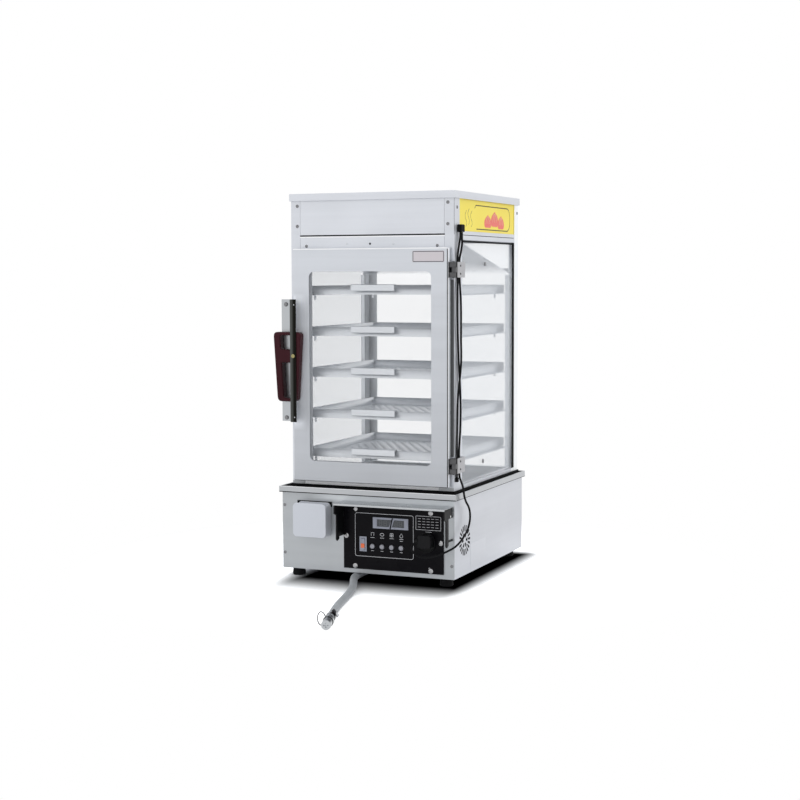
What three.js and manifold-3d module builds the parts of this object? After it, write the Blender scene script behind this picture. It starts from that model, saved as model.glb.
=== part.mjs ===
// Heated display case: a countertop steamer with a water base, a glazed
// cabinet of five perforated trays, a hinged glass door and a lit head.
// Millimetres, +Z up, the front faces -Y. x = 0 is the middle of the base's
// width and y = 0 the middle of its depth until the last step, which moves
// the whole case so that its origin is the middle of its footprint.
import * as THREE from 'three';
import { mergeVertices } from 'three/addons/utils/BufferGeometryUtils.js';
import Module from 'manifold-3d';

const wasm = await Module();
wasm.setup();

// Driving dimensions
const total_height = 794;
const base_width = 384;
const base_depth = 422;
const base_height = 160;
const foot_height = 17;
const cabinet_width = 362;
const cabinet_depth = 394;
const sheet = 1.5;       // folded stainless sheet
const glass_thickness = 4;
const fit = 0.25;        // gap between pieces that are screwed or set together
const overrun = 2;       // how far a cutting tool runs past the wall it cuts

// Rim of the base, a shallow tray that catches what drips off the cabinet
const rim_overhang = 5.3;
const rim_height = 12.3;
const rim_lip = 3;

// Door
const door_width = 343;
const door_height_share = 0.605164;   // share of the case's height that the door takes
const door_thickness = 14.5;
const door_right_inset = 7;      // cabinet that shows beside the door's hinge edge
const door_rim_gap = 11.2;       // daylight between the rim's top and the door
const door_air_gap = 2.5;        // door's back to the cabinet's front, filled by the gasket
const stile_width = 36;
const top_rail_height = 47;
const bottom_rail_height = 42;
const window_radius = 12;
const rebate = 8;                // how far glass and gasket reach behind the frame

// Cabinet frame
const post_front_width = 21;
const front_post_side_width = 45;
const rear_post_side_width = 24;
const bottom_frame_height = 20;
const ledge_width = 19;

// Head
const lintel_height = 25.6;
const head_rail_height = 18;
const sign_side_strip = 31;
const head_front_seam = 1.4;
const roof_height = 15;
const roof_overhang = 3;
const drip_slope = 0.21;

// Trays
const tray_count = 5;
const tray_pitch_share = 0.178148;    // share of the door's height between two trays
const tray_height = 18;
const tray_sheet = 1.2;
const tray_side_gap = 2.25;      // tray's side to the post's front leg
const tray_depth = 350;
const tray_setback = 18;         // cabinet's front to the tray's front wall
const lowest_tray_bottom = 248.2;
const lowest_tray_lift = 4;      // the lowest tray hangs this much nearer to the next one

// Places worked out from the driving dimensions
const base_right = base_width / 2;
const base_front_y = -base_depth / 2;
const base_back_y = base_depth / 2;
const base_top = foot_height + base_height;
const rim_top = base_top + rim_height;
const rim_floor_top = base_top + sheet;
const cabinet_right = cabinet_width / 2;
const cabinet_back_y = base_back_y;
const cabinet_front_y = cabinet_back_y - cabinet_depth;
const cabinet_bottom = rim_floor_top + fit;
const cabinet_glass_bottom = cabinet_bottom + bottom_frame_height;
const door_back_y = cabinet_front_y - door_air_gap;
const door_front_y = door_back_y - door_thickness;
const door_right = cabinet_right - door_right_inset;
const door_left = door_right - door_width;
const door_height = total_height * door_height_share;
const door_bottom = rim_top + door_rim_gap;
const door_top = door_bottom + door_height;
const tray_pitch = door_height * tray_pitch_share;
const window_left = door_left + stile_width;
const window_right = door_right - stile_width;
const window_bottom = door_bottom + bottom_rail_height;
const window_top = door_top - top_rail_height;
const head_bottom = door_top + lintel_height;
const roof_bottom = total_height - roof_height;
const under_roof = total_height - sheet - fit;

const colours = {
  steel: 0xc9ccd1, bright: 0xdfe1e5, black: 0x15151a, rubber: 0x1d1d1f,
  glass: 0xdfe8ee, bakelite: 0x3c1a20, cup: 0xe6e9ee, sign: 0xf7e66a,
  grey_hose: 0x9a9fa3, board: 0x2c5c39, display: 0x5f666e, red: 0xc8402e,
  element: 0x8a8f94, lamp: 0xfafaf2,
};

function finish(colour, roughness, metalness) {
  return new THREE.MeshStandardMaterial({ color: colour, roughness, metalness, flatShading: true });
}

const brushed = finish(colours.steel, 0.35, 0.9);
const polished = finish(colours.bright, 0.2, 0.95);
const black_plastic = finish(colours.black, 0.45, 0);
const rubber = finish(colours.rubber, 0.8, 0);
const clear_glass = finish(colours.glass, 0.05, 0);
const bakelite = finish(colours.bakelite, 0.3, 0);
const cup_plastic = finish(colours.cup, 0.5, 0);
const sign_acrylic = finish(colours.sign, 0.3, 0);
const hose_rubber = finish(colours.grey_hose, 0.6, 0);
const board_green = finish(colours.board, 0.6, 0);
const display_grey = finish(colours.display, 0.25, 0);
const lit_red = finish(colours.red, 0.3, 0);
const element_steel = finish(colours.element, 0.4, 0.8);
const lamp_white = finish(colours.lamp, 0.4, 0);

// Solid helpers

function toManifold(geometry) {
  const bare = geometry.clone();
  bare.deleteAttribute('normal');
  bare.deleteAttribute('uv');
  const merged = mergeVertices(bare);
  const vertProperties = Float32Array.from(merged.attributes.position.array);
  const triVerts = Uint32Array.from(merged.index.array);
  return new wasm.Manifold(new wasm.Mesh({ numProp: 3, vertProperties, triVerts }));
}

function toGeometry(manifold) {
  const mesh = manifold.getMesh();
  const geometry = new THREE.BufferGeometry();
  geometry.setAttribute('position', new THREE.BufferAttribute(Float32Array.from(mesh.vertProperties), 3));
  geometry.setIndex(new THREE.BufferAttribute(Uint32Array.from(mesh.triVerts), 1));
  geometry.computeVertexNormals();
  return geometry;
}

function fuse(...geometries) {
  return toGeometry(geometries.map(toManifold).reduce((whole, piece) => whole.add(piece)));
}

function cut(geometry, ...tools) {
  const solid = toManifold(geometry);
  return toGeometry(tools.map(toManifold).reduce((whole, tool) => whole.subtract(tool), solid));
}

// A box between two corners, for sheet metal and straight cuts
function slab(x0, x1, y0, y1, z0, z1) {
  const box = new THREE.BoxGeometry(x1 - x0, y1 - y0, z1 - z0);
  return box.translate((x0 + x1) / 2, (y0 + y1) / 2, (z0 + z1) / 2);
}

function rectangle(Kind, u0, u1, v0, v1, radius = 0) {
  const path = new Kind();
  if (radius === 0) {
    path.moveTo(u0, v0);
    path.lineTo(u1, v0);
    path.lineTo(u1, v1);
    path.lineTo(u0, v1);
    path.closePath();
    return path;
  }
  path.moveTo(u0 + radius, v0);
  path.lineTo(u1 - radius, v0);
  path.absarc(u1 - radius, v0 + radius, radius, -Math.PI / 2, 0);
  path.lineTo(u1, v1 - radius);
  path.absarc(u1 - radius, v1 - radius, radius, 0, Math.PI / 2);
  path.lineTo(u0 + radius, v1);
  path.absarc(u0 + radius, v1 - radius, radius, Math.PI / 2, Math.PI);
  path.lineTo(u0, v0 + radius);
  path.absarc(u0 + radius, v0 + radius, radius, Math.PI, Math.PI * 3 / 2);
  return path;
}

function polygon(Kind, points) {
  const path = new Kind();
  points.forEach(([u, v], i) => (i === 0 ? path.moveTo(u, v) : path.lineTo(u, v)));
  path.closePath();
  return path;
}

function disc(Kind, u, v, radius, sides) {
  const corners = Array.from({ length: sides }, (_, i) => {
    const turn = 2 * Math.PI * i / sides;
    return [u + radius * Math.cos(turn), v + radius * Math.sin(turn)];
  });
  return polygon(Kind, corners);
}

const arc_steps = 4;
const round_sides = 16;
const small_sides = 12;
const pin_sides = 10;

function extrude(shape, depth) {
  return new THREE.ExtrudeGeometry(shape, { depth, bevelEnabled: false, curveSegments: arc_steps });
}

// A plate drawn in X and Z that lies between two depths
function frontPlate(shape, y0, y1) {
  return extrude(shape, y1 - y0).rotateX(Math.PI / 2).translate(0, y1, 0);
}

// A plate drawn in Y and Z that lies between two places along the width
function sidePlate(shape, x0, x1) {
  const turn = new THREE.Matrix4().makeBasis(
    new THREE.Vector3(0, 1, 0),
    new THREE.Vector3(0, 0, 1),
    new THREE.Vector3(1, 0, 0),
  );
  return extrude(shape, x1 - x0).applyMatrix4(turn).translate(x0, 0, 0);
}

// A plate drawn in X and Y that lies between two heights
function floorPlate(shape, z0, z1) {
  return extrude(shape, z1 - z0).translate(0, 0, z0);
}

// A turned piece whose profile is given as [radius, height] pairs
function turned(profile, sides) {
  return new THREE.LatheGeometry(profile.map(([r, h]) => new THREE.Vector2(r, h)), sides);
}

// Turns a piece whose profile ends at its head so that the head faces front
function towardFront(geometry, x, y, z) {
  return geometry.rotateX(Math.PI).translate(x, y, z);
}

// A rod standing along Z
function rod(radius, z0, z1, sides, x = 0, y = 0) {
  return floorPlate(disc(THREE.Shape, x, y, radius, sides), z0, z1);
}

// A rod lying along Y
function rodY(radius, y0, y1, sides, x, z) {
  return frontPlate(disc(THREE.Shape, x, z, radius, sides), y0, y1);
}

function tube(curve, radius, sides, steps) {
  const section = disc(THREE.Shape, 0, 0, radius, sides);
  return new THREE.ExtrudeGeometry(section, { steps, extrudePath: curve, bevelEnabled: false });
}

const display_case = new THREE.Group();

function add(name, geometry, material) {
  const mesh = new THREE.Mesh(geometry, material);
  mesh.name = name;
  display_case.add(mesh);
  return mesh;
}

// Control panel sizes, used by the base's front too
const panel_width_share = 0.5737;    // share of the base's width that the panel takes
const panel_right_inset = 22.3;
const panel_bottom = 26;
const panel_height = 131.5;
const panel_thickness = 2;
const panel_land = 12;           // panel that lies on the base's front all round
const panel_width = base_width * panel_width_share;
const panel_right = base_right - panel_right_inset;
const panel_left = panel_right - panel_width;
const panel_top = panel_bottom + panel_height;
const panel_back_y = base_front_y - fit;
const panel_front_y = panel_back_y - panel_thickness;

// Water cup sizes, used by the base's front and the pan
const cup_left_inset = 37;
const cup_width_share = 0.195313;    // share of the base's width that the cup takes
const cup_bottom = 88.5;
const cup_height = 70.4;
const cup_depth = 27;
const cup_wall = 2.5;
const cup_radius = 9;
const duct_width = 40;
const duct_height = 20;
const duct_clearance = 1;
const cup_left = cup_left_inset - base_right;
const cup_width = base_width * cup_width_share;
const cup_middle_x = cup_left + cup_width / 2;
const duct_bottom = cup_bottom + cup_wall + overrun;
const duct_left = cup_middle_x - duct_width / 2;
const duct_right = cup_middle_x + duct_width / 2;
const duct_top = duct_bottom + duct_height;

// Cooling fan sizes, used by the base's side too
const fan_size = 60;
const fan_depth = 14;
const fan_setback = 59;          // fan's axis from the base's front
const fan_axis_z = 88.7;
const fan_y = base_front_y + fan_setback;
const vent_slots = 20;
const vent_inner_slots = 6;
const vent_outer_radius = 31;
const vent_ring_radius = 17;
const vent_inner_radius = 7;
const vent_slot_share = 0.5;     // share of the pitch that each slot opens

function ventSlots(count, inner, outer) {
  return Array.from({ length: count }, (_, i) => {
    const middle = 2 * Math.PI * i / count;
    const half = Math.PI * vent_slot_share / count;
    const corner = (radius, angle) => [
      fan_y + radius * Math.cos(angle), fan_axis_z + radius * Math.sin(angle),
    ];
    return polygon(THREE.Path, [
      corner(inner, middle - half), corner(outer, middle - half),
      corner(outer, middle + half), corner(inner, middle + half),
    ]);
  });
}

// Drain sizes, used by the pan, the base's floor and the hose
const hose_diameter = 16;
const hose_lift = 0.3;
const drain_x = -32;
const drain_setback = 95;        // drain's axis from the base's front
const drain_clearance = 2;
const drain_nozzle = 22;
const drain_bore_radius = 5;
const drain_radius = hose_diameter / 2;
const drain_y = base_front_y + drain_setback;
const hose_axis_z = hose_lift + hose_diameter / 2;

// Base: one folded sheet for the floor, both sides and the back
function makeBaseShell() {
  const left_x = -base_right;
  const inner_front = base_front_y + sheet + fit;
  const floor_shape = rectangle(THREE.Shape, left_x, base_right, inner_front, base_back_y);
  floor_shape.holes.push(disc(THREE.Path, drain_x, drain_y, drain_radius + drain_clearance, round_sides));
  const floor = floorPlate(floor_shape, foot_height, foot_height + sheet);
  const side_shape = rectangle(THREE.Shape, inner_front, base_back_y, foot_height, base_top - fit);
  const vent_shape = side_shape.clone();
  vent_shape.holes.push(...ventSlots(vent_slots, vent_ring_radius + sheet, vent_outer_radius));
  vent_shape.holes.push(...ventSlots(vent_inner_slots, vent_inner_radius, vent_ring_radius - sheet));
  const left = sidePlate(side_shape, left_x, left_x + sheet);
  const right = sidePlate(vent_shape, base_right - sheet, base_right);
  const back = slab(left_x, base_right, base_back_y - sheet, base_back_y, foot_height, base_top - fit);
  add('base_shell', fuse(floor, left, right, back), brushed);
}

// Base: front sheet with the opening behind the control panel and the slot
// that takes water from the cup
function makeBaseFront() {
  const shape = rectangle(THREE.Shape, -base_right, base_right, foot_height, base_top - fit);
  shape.holes.push(rectangle(
    THREE.Path,
    panel_left + panel_land, panel_right - panel_land,
    panel_bottom + panel_land, panel_top - panel_land,
  ));
  shape.holes.push(rectangle(
    THREE.Path,
    duct_left - duct_clearance, duct_right + duct_clearance,
    duct_bottom - duct_clearance, duct_top + duct_clearance,
  ));
  add('base_front', frontPlate(shape, base_front_y, base_front_y + sheet), brushed);
}

// Water pan sizes, used by the rim's opening too
const pan_side_gap = 42;         // base's side to the pan's wall
const pan_front_gap = 66;
const pan_back_gap = 21;
const pan_bottom = 62;
const pan_flange = 12;
const pan_right = base_right - pan_side_gap;
const pan_front_y = base_front_y + pan_front_gap;
const pan_back_y = base_back_y - pan_back_gap;

// Base: the rim is a shallow tray with a lip, open in the middle for steam
function makeBaseRim() {
  const right = base_right + rim_overhang;
  const front = base_front_y - rim_overhang;
  const back = base_back_y + rim_overhang;
  const floor_shape = rectangle(THREE.Shape, -right, right, front, back);
  floor_shape.holes.push(rectangle(
    THREE.Path,
    -pan_right + rim_lip, pan_right - rim_lip, pan_front_y + rim_lip, pan_back_y - rim_lip,
  ));
  const lip_shape = rectangle(THREE.Shape, -right, right, front, back);
  lip_shape.holes.push(rectangle(
    THREE.Path, -right + rim_lip, right - rim_lip, front + rim_lip, back - rim_lip,
  ));
  const floor = floorPlate(floor_shape, base_top, rim_floor_top);
  const lip = floorPlate(lip_shape, base_top, rim_top);
  add('base_rim', fuse(floor, lip), polished);
}

// Four rubber feet, turned, each with the recess for its screw
function makeFeet() {
  const radius = 14;
  const top_radius = 12.5;
  const chamfer = 1.5;
  const recess_radius = 6;
  const recess_depth = 9;
  const side_inset = 26;
  const front_inset = 24;
  const top = foot_height - fit;
  const profile = [
    [0, recess_depth], [recess_radius, recess_depth], [recess_radius, 0], [radius - chamfer, 0],
    [radius, chamfer], [top_radius, top], [0, top],
  ];
  const places = {
    foot_front_left: [-1, -1], foot_front_right: [1, -1], foot_back_left: [-1, 1], foot_back_right: [1, 1],
  };
  for (const [name, [sx, sy]] of Object.entries(places)) {
    const foot = turned(profile, round_sides).rotateX(Math.PI / 2);
    foot.translate(sx * (base_right - side_inset), sy * (base_depth / 2 - front_inset), 0);
    add(name, foot, rubber);
  }
}

// Heating element: a steel hairpin through the pan's front wall
const element_radius = 5;
const element_half_width = 62;
const element_height = 22;       // element's axis above the pan's floor
const element_clearance = 0.4;
const element_wall_run = 14;     // terminals outside the pan
const element_back_gap = 40;
const element_bend_steps = 7;
const element_z = pan_bottom + element_height;

// Water pan: open tank hung from the rim by its flange, with the fill duct
// from the cup and the drain elbow that the hose is pushed on
function makeWaterPan() {
  const flange_top = base_top - fit;
  const outer = slab(-pan_right, pan_right, pan_front_y, pan_back_y, pan_bottom, flange_top);
  const flange = slab(
    -pan_right - pan_flange, pan_right + pan_flange, pan_front_y - pan_flange, pan_back_y + pan_flange,
    flange_top - sheet, flange_top,
  );
  const inside = slab(
    -pan_right + sheet, pan_right - sheet, pan_front_y + sheet, pan_back_y - sheet,
    pan_bottom + sheet, flange_top + overrun,
  );
  const duct_front = base_front_y + fit - cup_wall;
  const duct = slab(duct_left, duct_right, duct_front, pan_front_y + sheet, duct_bottom, duct_top);
  const duct_bore = slab(
    duct_left + sheet, duct_right - sheet, duct_front - overrun, pan_front_y + sheet + overrun,
    duct_bottom + sheet, duct_top - sheet,
  );
  const elbow_drop = rod(drain_radius, hose_axis_z, pan_bottom + sheet, round_sides, drain_x, drain_y);
  const nozzle_front = drain_y - drain_nozzle;
  const nozzle = rodY(
    drain_radius, nozzle_front, drain_y + drain_radius, round_sides, drain_x, hose_axis_z,
  );
  const drain_bore = rod(
    drain_bore_radius, hose_axis_z, pan_bottom + sheet + overrun, small_sides, drain_x, drain_y,
  );
  const nozzle_bore = rodY(
    drain_bore_radius, nozzle_front - overrun, drain_y, small_sides, drain_x, hose_axis_z,
  );
  const terminals = [-element_half_width, element_half_width].map((x) => rodY(
    element_radius + element_clearance, pan_front_y - overrun, pan_front_y + sheet + overrun,
    small_sides, x, element_z,
  ));
  const body = fuse(outer, flange, duct, elbow_drop, nozzle);
  add('water_pan', cut(body, inside, duct_bore, drain_bore, nozzle_bore, ...terminals), brushed);
}

function makeHeatingElement() {
  const front = pan_front_y - element_wall_run;
  const bend = element_half_width;
  const bend_y = pan_back_y - element_back_gap - bend;
  const half_turn = Array.from({ length: element_bend_steps + 1 }, (_, i) => {
    const turn = Math.PI * i / element_bend_steps;
    return new THREE.Vector3(-bend * Math.cos(turn), bend_y + bend * Math.sin(turn), element_z);
  });
  const start = new THREE.Vector3(-bend, front, element_z);
  const end = new THREE.Vector3(bend, front, element_z);
  add('heating_element', sweep([start, ...half_turn, end], element_radius, pin_sides), element_steel);
}

// A round bar that follows straight runs, mitred at each corner
function sweep(corners, radius, sides) {
  const positions = [];
  const up = new THREE.Vector3(0, 0, 1);
  corners.forEach((corner, i) => {
    const before = corners[Math.max(i - 1, 0)];
    const after = corners[Math.min(i + 1, corners.length - 1)];
    const arriving = corner.clone().sub(before).normalize();
    const leaving = after.clone().sub(corner).normalize();
    const heading = arriving.lengthSq() === 0 ? leaving : arriving.clone().add(leaving).normalize();
    const mitre = heading.dot(leaving.lengthSq() === 0 ? arriving : leaving);
    const side = heading.clone().cross(up).normalize();
    for (let k = 0; k < sides; k += 1) {
      const turn = 2 * Math.PI * k / sides;
      const point = corner.clone().addScaledVector(side, radius * Math.cos(turn) / mitre);
      point.addScaledVector(up, radius * Math.sin(turn));
      positions.push(point.x, point.y, point.z);
    }
  });
  const index = [];
  for (let i = 0; i + 1 < corners.length; i += 1) {
    for (let k = 0; k < sides; k += 1) {
      const a = i * sides + k;
      const b = i * sides + (k + 1) % sides;
      index.push(a, a + sides, b, b, a + sides, b + sides);
    }
  }
  const last = (corners.length - 1) * sides;
  for (let k = 1; k + 1 < sides; k += 1) {
    index.push(0, k, k + 1, last, last + k + 1, last + k);
  }
  const geometry = new THREE.BufferGeometry();
  geometry.setAttribute('position', new THREE.Float32BufferAttribute(positions, 3));
  geometry.setIndex(index);
  geometry.computeVertexNormals();
  return geometry;
}

// Water cup: a moulded pocket on the front, open at the top
function makeWaterCup() {
  const front = base_front_y - cup_depth;
  const back = base_front_y - fit;
  const right = cup_left + cup_width;
  const top = cup_bottom + cup_height;
  const body = frontPlate(rectangle(THREE.Shape, cup_left, right, cup_bottom, top, cup_radius), front, back);
  const pocket = frontPlate(rectangle(
    THREE.Shape, cup_left + cup_wall, right - cup_wall,
    cup_bottom + cup_wall, top + cup_radius, cup_radius - cup_wall,
  ), front + cup_wall, back - cup_wall);
  const outlet = slab(
    duct_left - fit, duct_right + fit, back - cup_wall - overrun, back + overrun,
    duct_bottom - fit, duct_top + fit,
  );
  add('water_cup', cut(body, pocket, outlet), cup_plastic);
}

// Control panel sizes: what is set in it
const display_left_share = 0.296868;     // shares of the panel's width, from its left edge
const display_width_share = 0.356786;
const button_first_share = 0.29369;
const button_pitch_share = 0.096232;
const rocker_left_share = 0.163867;
const socket_share = 0.828869;
const display_left_x = panel_left + panel_width * display_left_share;
const display_width = panel_width * display_width_share;
const display_bottom = 111.8;
const display_height = 23.3;
const display_proud = 0.8;
const button_first_x = panel_left + panel_width * button_first_share;
const button_pitch = panel_width * button_pitch_share;
const button_z = 74.6;
const button_radius = 5.3;
const button_clearance = 0.4;
const button_proud = 3;
const button_travel = 2;
const button_count = 4;
const rocker_left = panel_left + panel_width * rocker_left_share;
const rocker_width = 15.8;
const rocker_bottom = 63;
const rocker_height = 30.7;
const socket_x = panel_left + panel_width * socket_share;
const socket_z = 89;
const socket_radius = 21;
const board_gap = 8;             // panel's back to the board's face
const board_thickness = 1.6;
const board_share = 0.667;       // share of the panel's width that the board reaches over
const board_front_y = panel_back_y + board_gap;

function makeControlPanel() {
  const shape = rectangle(THREE.Shape, panel_left, panel_right, panel_bottom, panel_top);
  shape.holes.push(rectangle(
    THREE.Path,
    display_left_x, display_left_x + display_width, display_bottom, display_bottom + display_height,
  ));
  for (let i = 0; i < button_count; i += 1) {
    const x = button_first_x + i * button_pitch;
    shape.holes.push(disc(THREE.Path, x, button_z, button_radius + button_clearance, small_sides));
  }
  shape.holes.push(rectangle(
    THREE.Path,
    rocker_left + sheet, rocker_left + rocker_width - sheet,
    rocker_bottom + sheet, rocker_bottom + rocker_height - sheet,
  ));
  shape.holes.push(disc(THREE.Path, socket_x, socket_z, socket_radius - sheet, round_sides));
  add('control_panel', frontPlate(shape, panel_front_y, panel_back_y), black_plastic);
}

// Display: a grey bezel with two slanted readouts sunk into it
function makeDisplay() {
  const bezel = 4;
  const slant = 5;
  const middle_gap = 3;
  const sunk = 1.6;
  const left = display_left_x + fit;
  const right = display_left_x + display_width - fit;
  const bottom = display_bottom + fit;
  const top = display_bottom + display_height - fit;
  const front = panel_front_y - display_proud;
  const body = slab(left, right, front, board_front_y - fit, bottom, top);
  const middle = (left + right) / 2;
  const low = bottom + bezel;
  const high = top - bezel;
  const left_readout = polygon(THREE.Shape, [
    [left + bezel + slant, low], [middle - middle_gap, low], [middle - middle_gap + slant, high],
    [left + bezel + slant, high],
  ]);
  const right_readout = polygon(THREE.Shape, [
    [middle + middle_gap, low], [right - bezel - slant, low], [right - bezel - slant, high],
    [middle + middle_gap + slant, high],
  ]);
  const wells = [left_readout, right_readout].map(
    (shape) => frontPlate(shape, front - overrun, front + sunk),
  );
  add('display_module', cut(body, ...wells), display_grey);
}

// Push buttons: domed caps whose stems reach back to the board
function makeButtons() {
  const stem_radius = 2;
  const collar = 1.2;
  const collar_radius = button_radius + button_clearance + collar;
  const dome = 1;
  const head_length = button_proud + panel_thickness;
  const collar_length = collar;
  const stem_length = board_gap - button_travel - collar;
  const front_y = panel_front_y - button_proud;
  const profile = [
    [0, -head_length - collar_length - stem_length + fit],
    [stem_radius, -head_length - collar_length - stem_length + fit],
    [stem_radius, -head_length - collar_length],
    [collar_radius, -head_length - collar_length],
    [collar_radius, -head_length - fit],
    [button_radius, -head_length - fit],
    [button_radius, -dome],
    [button_radius - dome, 0],
    [0, 0],
  ];
  for (let i = 0; i < button_count; i += 1) {
    const x = button_first_x + i * button_pitch;
    const cap = towardFront(turned(profile, small_sides), x, front_y, button_z);
    add(`button_${i + 1}`, cap, polished);
  }
}

// Rocker switch: a bezel with a deep pocket and the rocker that tips in it
const rocker_bezel_wall = 2;
const rocker_side_gap = 0.4;
const rocker_dish = 1.2;
const rocker_thickness = 5;

function makeRockerSwitch() {
  const flange_front = panel_front_y - sheet;
  const right = rocker_left + rocker_width;
  const top = rocker_bottom + rocker_height;
  const flange = slab(rocker_left, right, flange_front, panel_front_y - fit, rocker_bottom, top);
  const inset = sheet + fit;
  const body_back = board_front_y - fit;
  const body = slab(
    rocker_left + inset, right - inset, flange_front, body_back, rocker_bottom + inset, top - inset,
  );
  const pocket_inset = inset + rocker_bezel_wall - fit;
  const pocket = slab(
    rocker_left + pocket_inset, right - pocket_inset, flange_front - overrun, body_back - rocker_bezel_wall,
    rocker_bottom + pocket_inset, top - pocket_inset,
  );
  add('rocker_bezel', cut(fuse(flange, body), pocket), black_plastic);

  const half = rocker_height / 2 - pocket_inset - rocker_side_gap;
  const middle_z = rocker_bottom + rocker_height / 2;
  const face_y = flange_front - sheet;
  const back_y = face_y + rocker_thickness;
  const stem = body_back - rocker_bezel_wall - fit;
  const stem_half = rocker_bezel_wall / 2;
  const profile = polygon(THREE.Shape, [
    [face_y - rocker_dish, middle_z - half], [face_y + rocker_dish, middle_z],
    [face_y - rocker_dish, middle_z + half],
    [back_y, middle_z + half], [back_y, middle_z + stem_half], [stem, middle_z + stem_half],
    [stem, middle_z - stem_half], [back_y, middle_z - stem_half], [back_y, middle_z - half],
  ]);
  const rocker = sidePlate(
    profile, rocker_left + pocket_inset + rocker_side_gap, right - pocket_inset - rocker_side_gap,
  );
  add('rocker', rocker, lit_red);
}

// Outlet on the panel for the lamp's plug, and the plug in it
const socket_proud = 4;
const plug_width = 28;
const plug_height = 26;
const plug_depth = 19;
const plug_radius = 5;
const plug_lift = 5;
const plug_offset = 4;           // plug's middle to the right of the outlet's
const plug_nose_radius = 5;
const socket_recess = 2;

function makeSocket() {
  const front = panel_front_y - socket_proud;
  const flange = rodY(socket_radius, front, panel_front_y - fit, round_sides, socket_x, socket_z);
  const body = rodY(
    socket_radius - sheet - fit, panel_front_y - socket_recess, board_front_y,
    round_sides, socket_x, socket_z,
  );
  const dish = rodY(
    socket_radius - socket_recess, front - overrun, front + socket_recess, round_sides, socket_x, socket_z,
  );
  add('socket_outlet', cut(fuse(flange, body), dish), black_plastic);
}

const plug_back_y = panel_front_y - socket_proud - fit;
const plug_front_y = plug_back_y - plug_depth;
const plug_middle_z = socket_z + plug_lift;
const plug_left = socket_x + plug_offset - plug_width / 2;
const plug_nose_root = new THREE.Vector3(
  plug_left + overrun, plug_front_y + plug_nose_radius, plug_middle_z + plug_lift,
);
const plug_nose_end = new THREE.Vector3(
  plug_left - plug_nose_radius - fit, plug_front_y + plug_radius - overrun, plug_middle_z - overrun,
);

function makePlug() {
  const right = plug_left + plug_width;
  const low = plug_middle_z - plug_height / 2;
  const high = plug_middle_z + plug_height / 2;
  const body = frontPlate(
    rectangle(THREE.Shape, plug_left, right, low, high, plug_radius), plug_front_y, plug_back_y,
  );
  const nose = noseAlong(plug_nose_root, plug_nose_end, plug_nose_radius, lead_radius + nose_wall);
  add('plug', fuse(body, nose), black_plastic);
}

// A tapered strain relief between two points
function noseAlong(from, to, radius_from, radius_to) {
  const length = from.distanceTo(to);
  const cone = turned([[0, 0], [radius_from, 0], [radius_to, length], [0, length]], small_sides);
  const turn = new THREE.Quaternion().setFromUnitVectors(
    new THREE.Vector3(0, 1, 0), to.clone().sub(from).normalize(),
  );
  return cone.applyQuaternion(turn).translate(from.x, from.y, from.z);
}

const lead_diameter = 4.2;
const lead_radius = lead_diameter / 2;
const nose_wall = 1;

// Control board on standoffs behind the panel
function makeControlBoard() {
  const margin = 14;
  const standoff_radius = 3;
  const left = panel_left + panel_land + margin;
  const right = panel_left + panel_width * board_share;
  const low = panel_bottom + panel_land + margin;
  const high = panel_top - panel_land - fit;
  const board = slab(left, right, board_front_y, board_front_y + board_thickness, low, high);
  const corners = [
    [left + standoff_radius * 2, low + standoff_radius], [right - standoff_radius, low + standoff_radius],
    [left + standoff_radius * 2, high - standoff_radius], [right - standoff_radius, high - standoff_radius],
  ];
  const posts = corners.map(([x, z]) => rodY(
    standoff_radius, panel_back_y + fit, board_front_y + board_thickness, pin_sides, x, z,
  ));
  add('control_board', fuse(board, ...posts), board_green);
}

// Cooling fan: a square frame with a round throat, and the rotor in it
const fan_throat = 27.5;
const fan_blade_gap = 1;
const fan_hub_radius = 11;
const fan_pin_radius = 2;
const fan_pin_clearance = 0.3;
const fan_web = 2;
const fan_blades = 7;
const fan_blade_thickness = 2.2;
const fan_blade_pitch = Math.PI / 5;
const fan_struts = 3;
const fan_right_x = base_right - sheet - fit;
const fan_left_x = fan_right_x - fan_depth;

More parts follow.
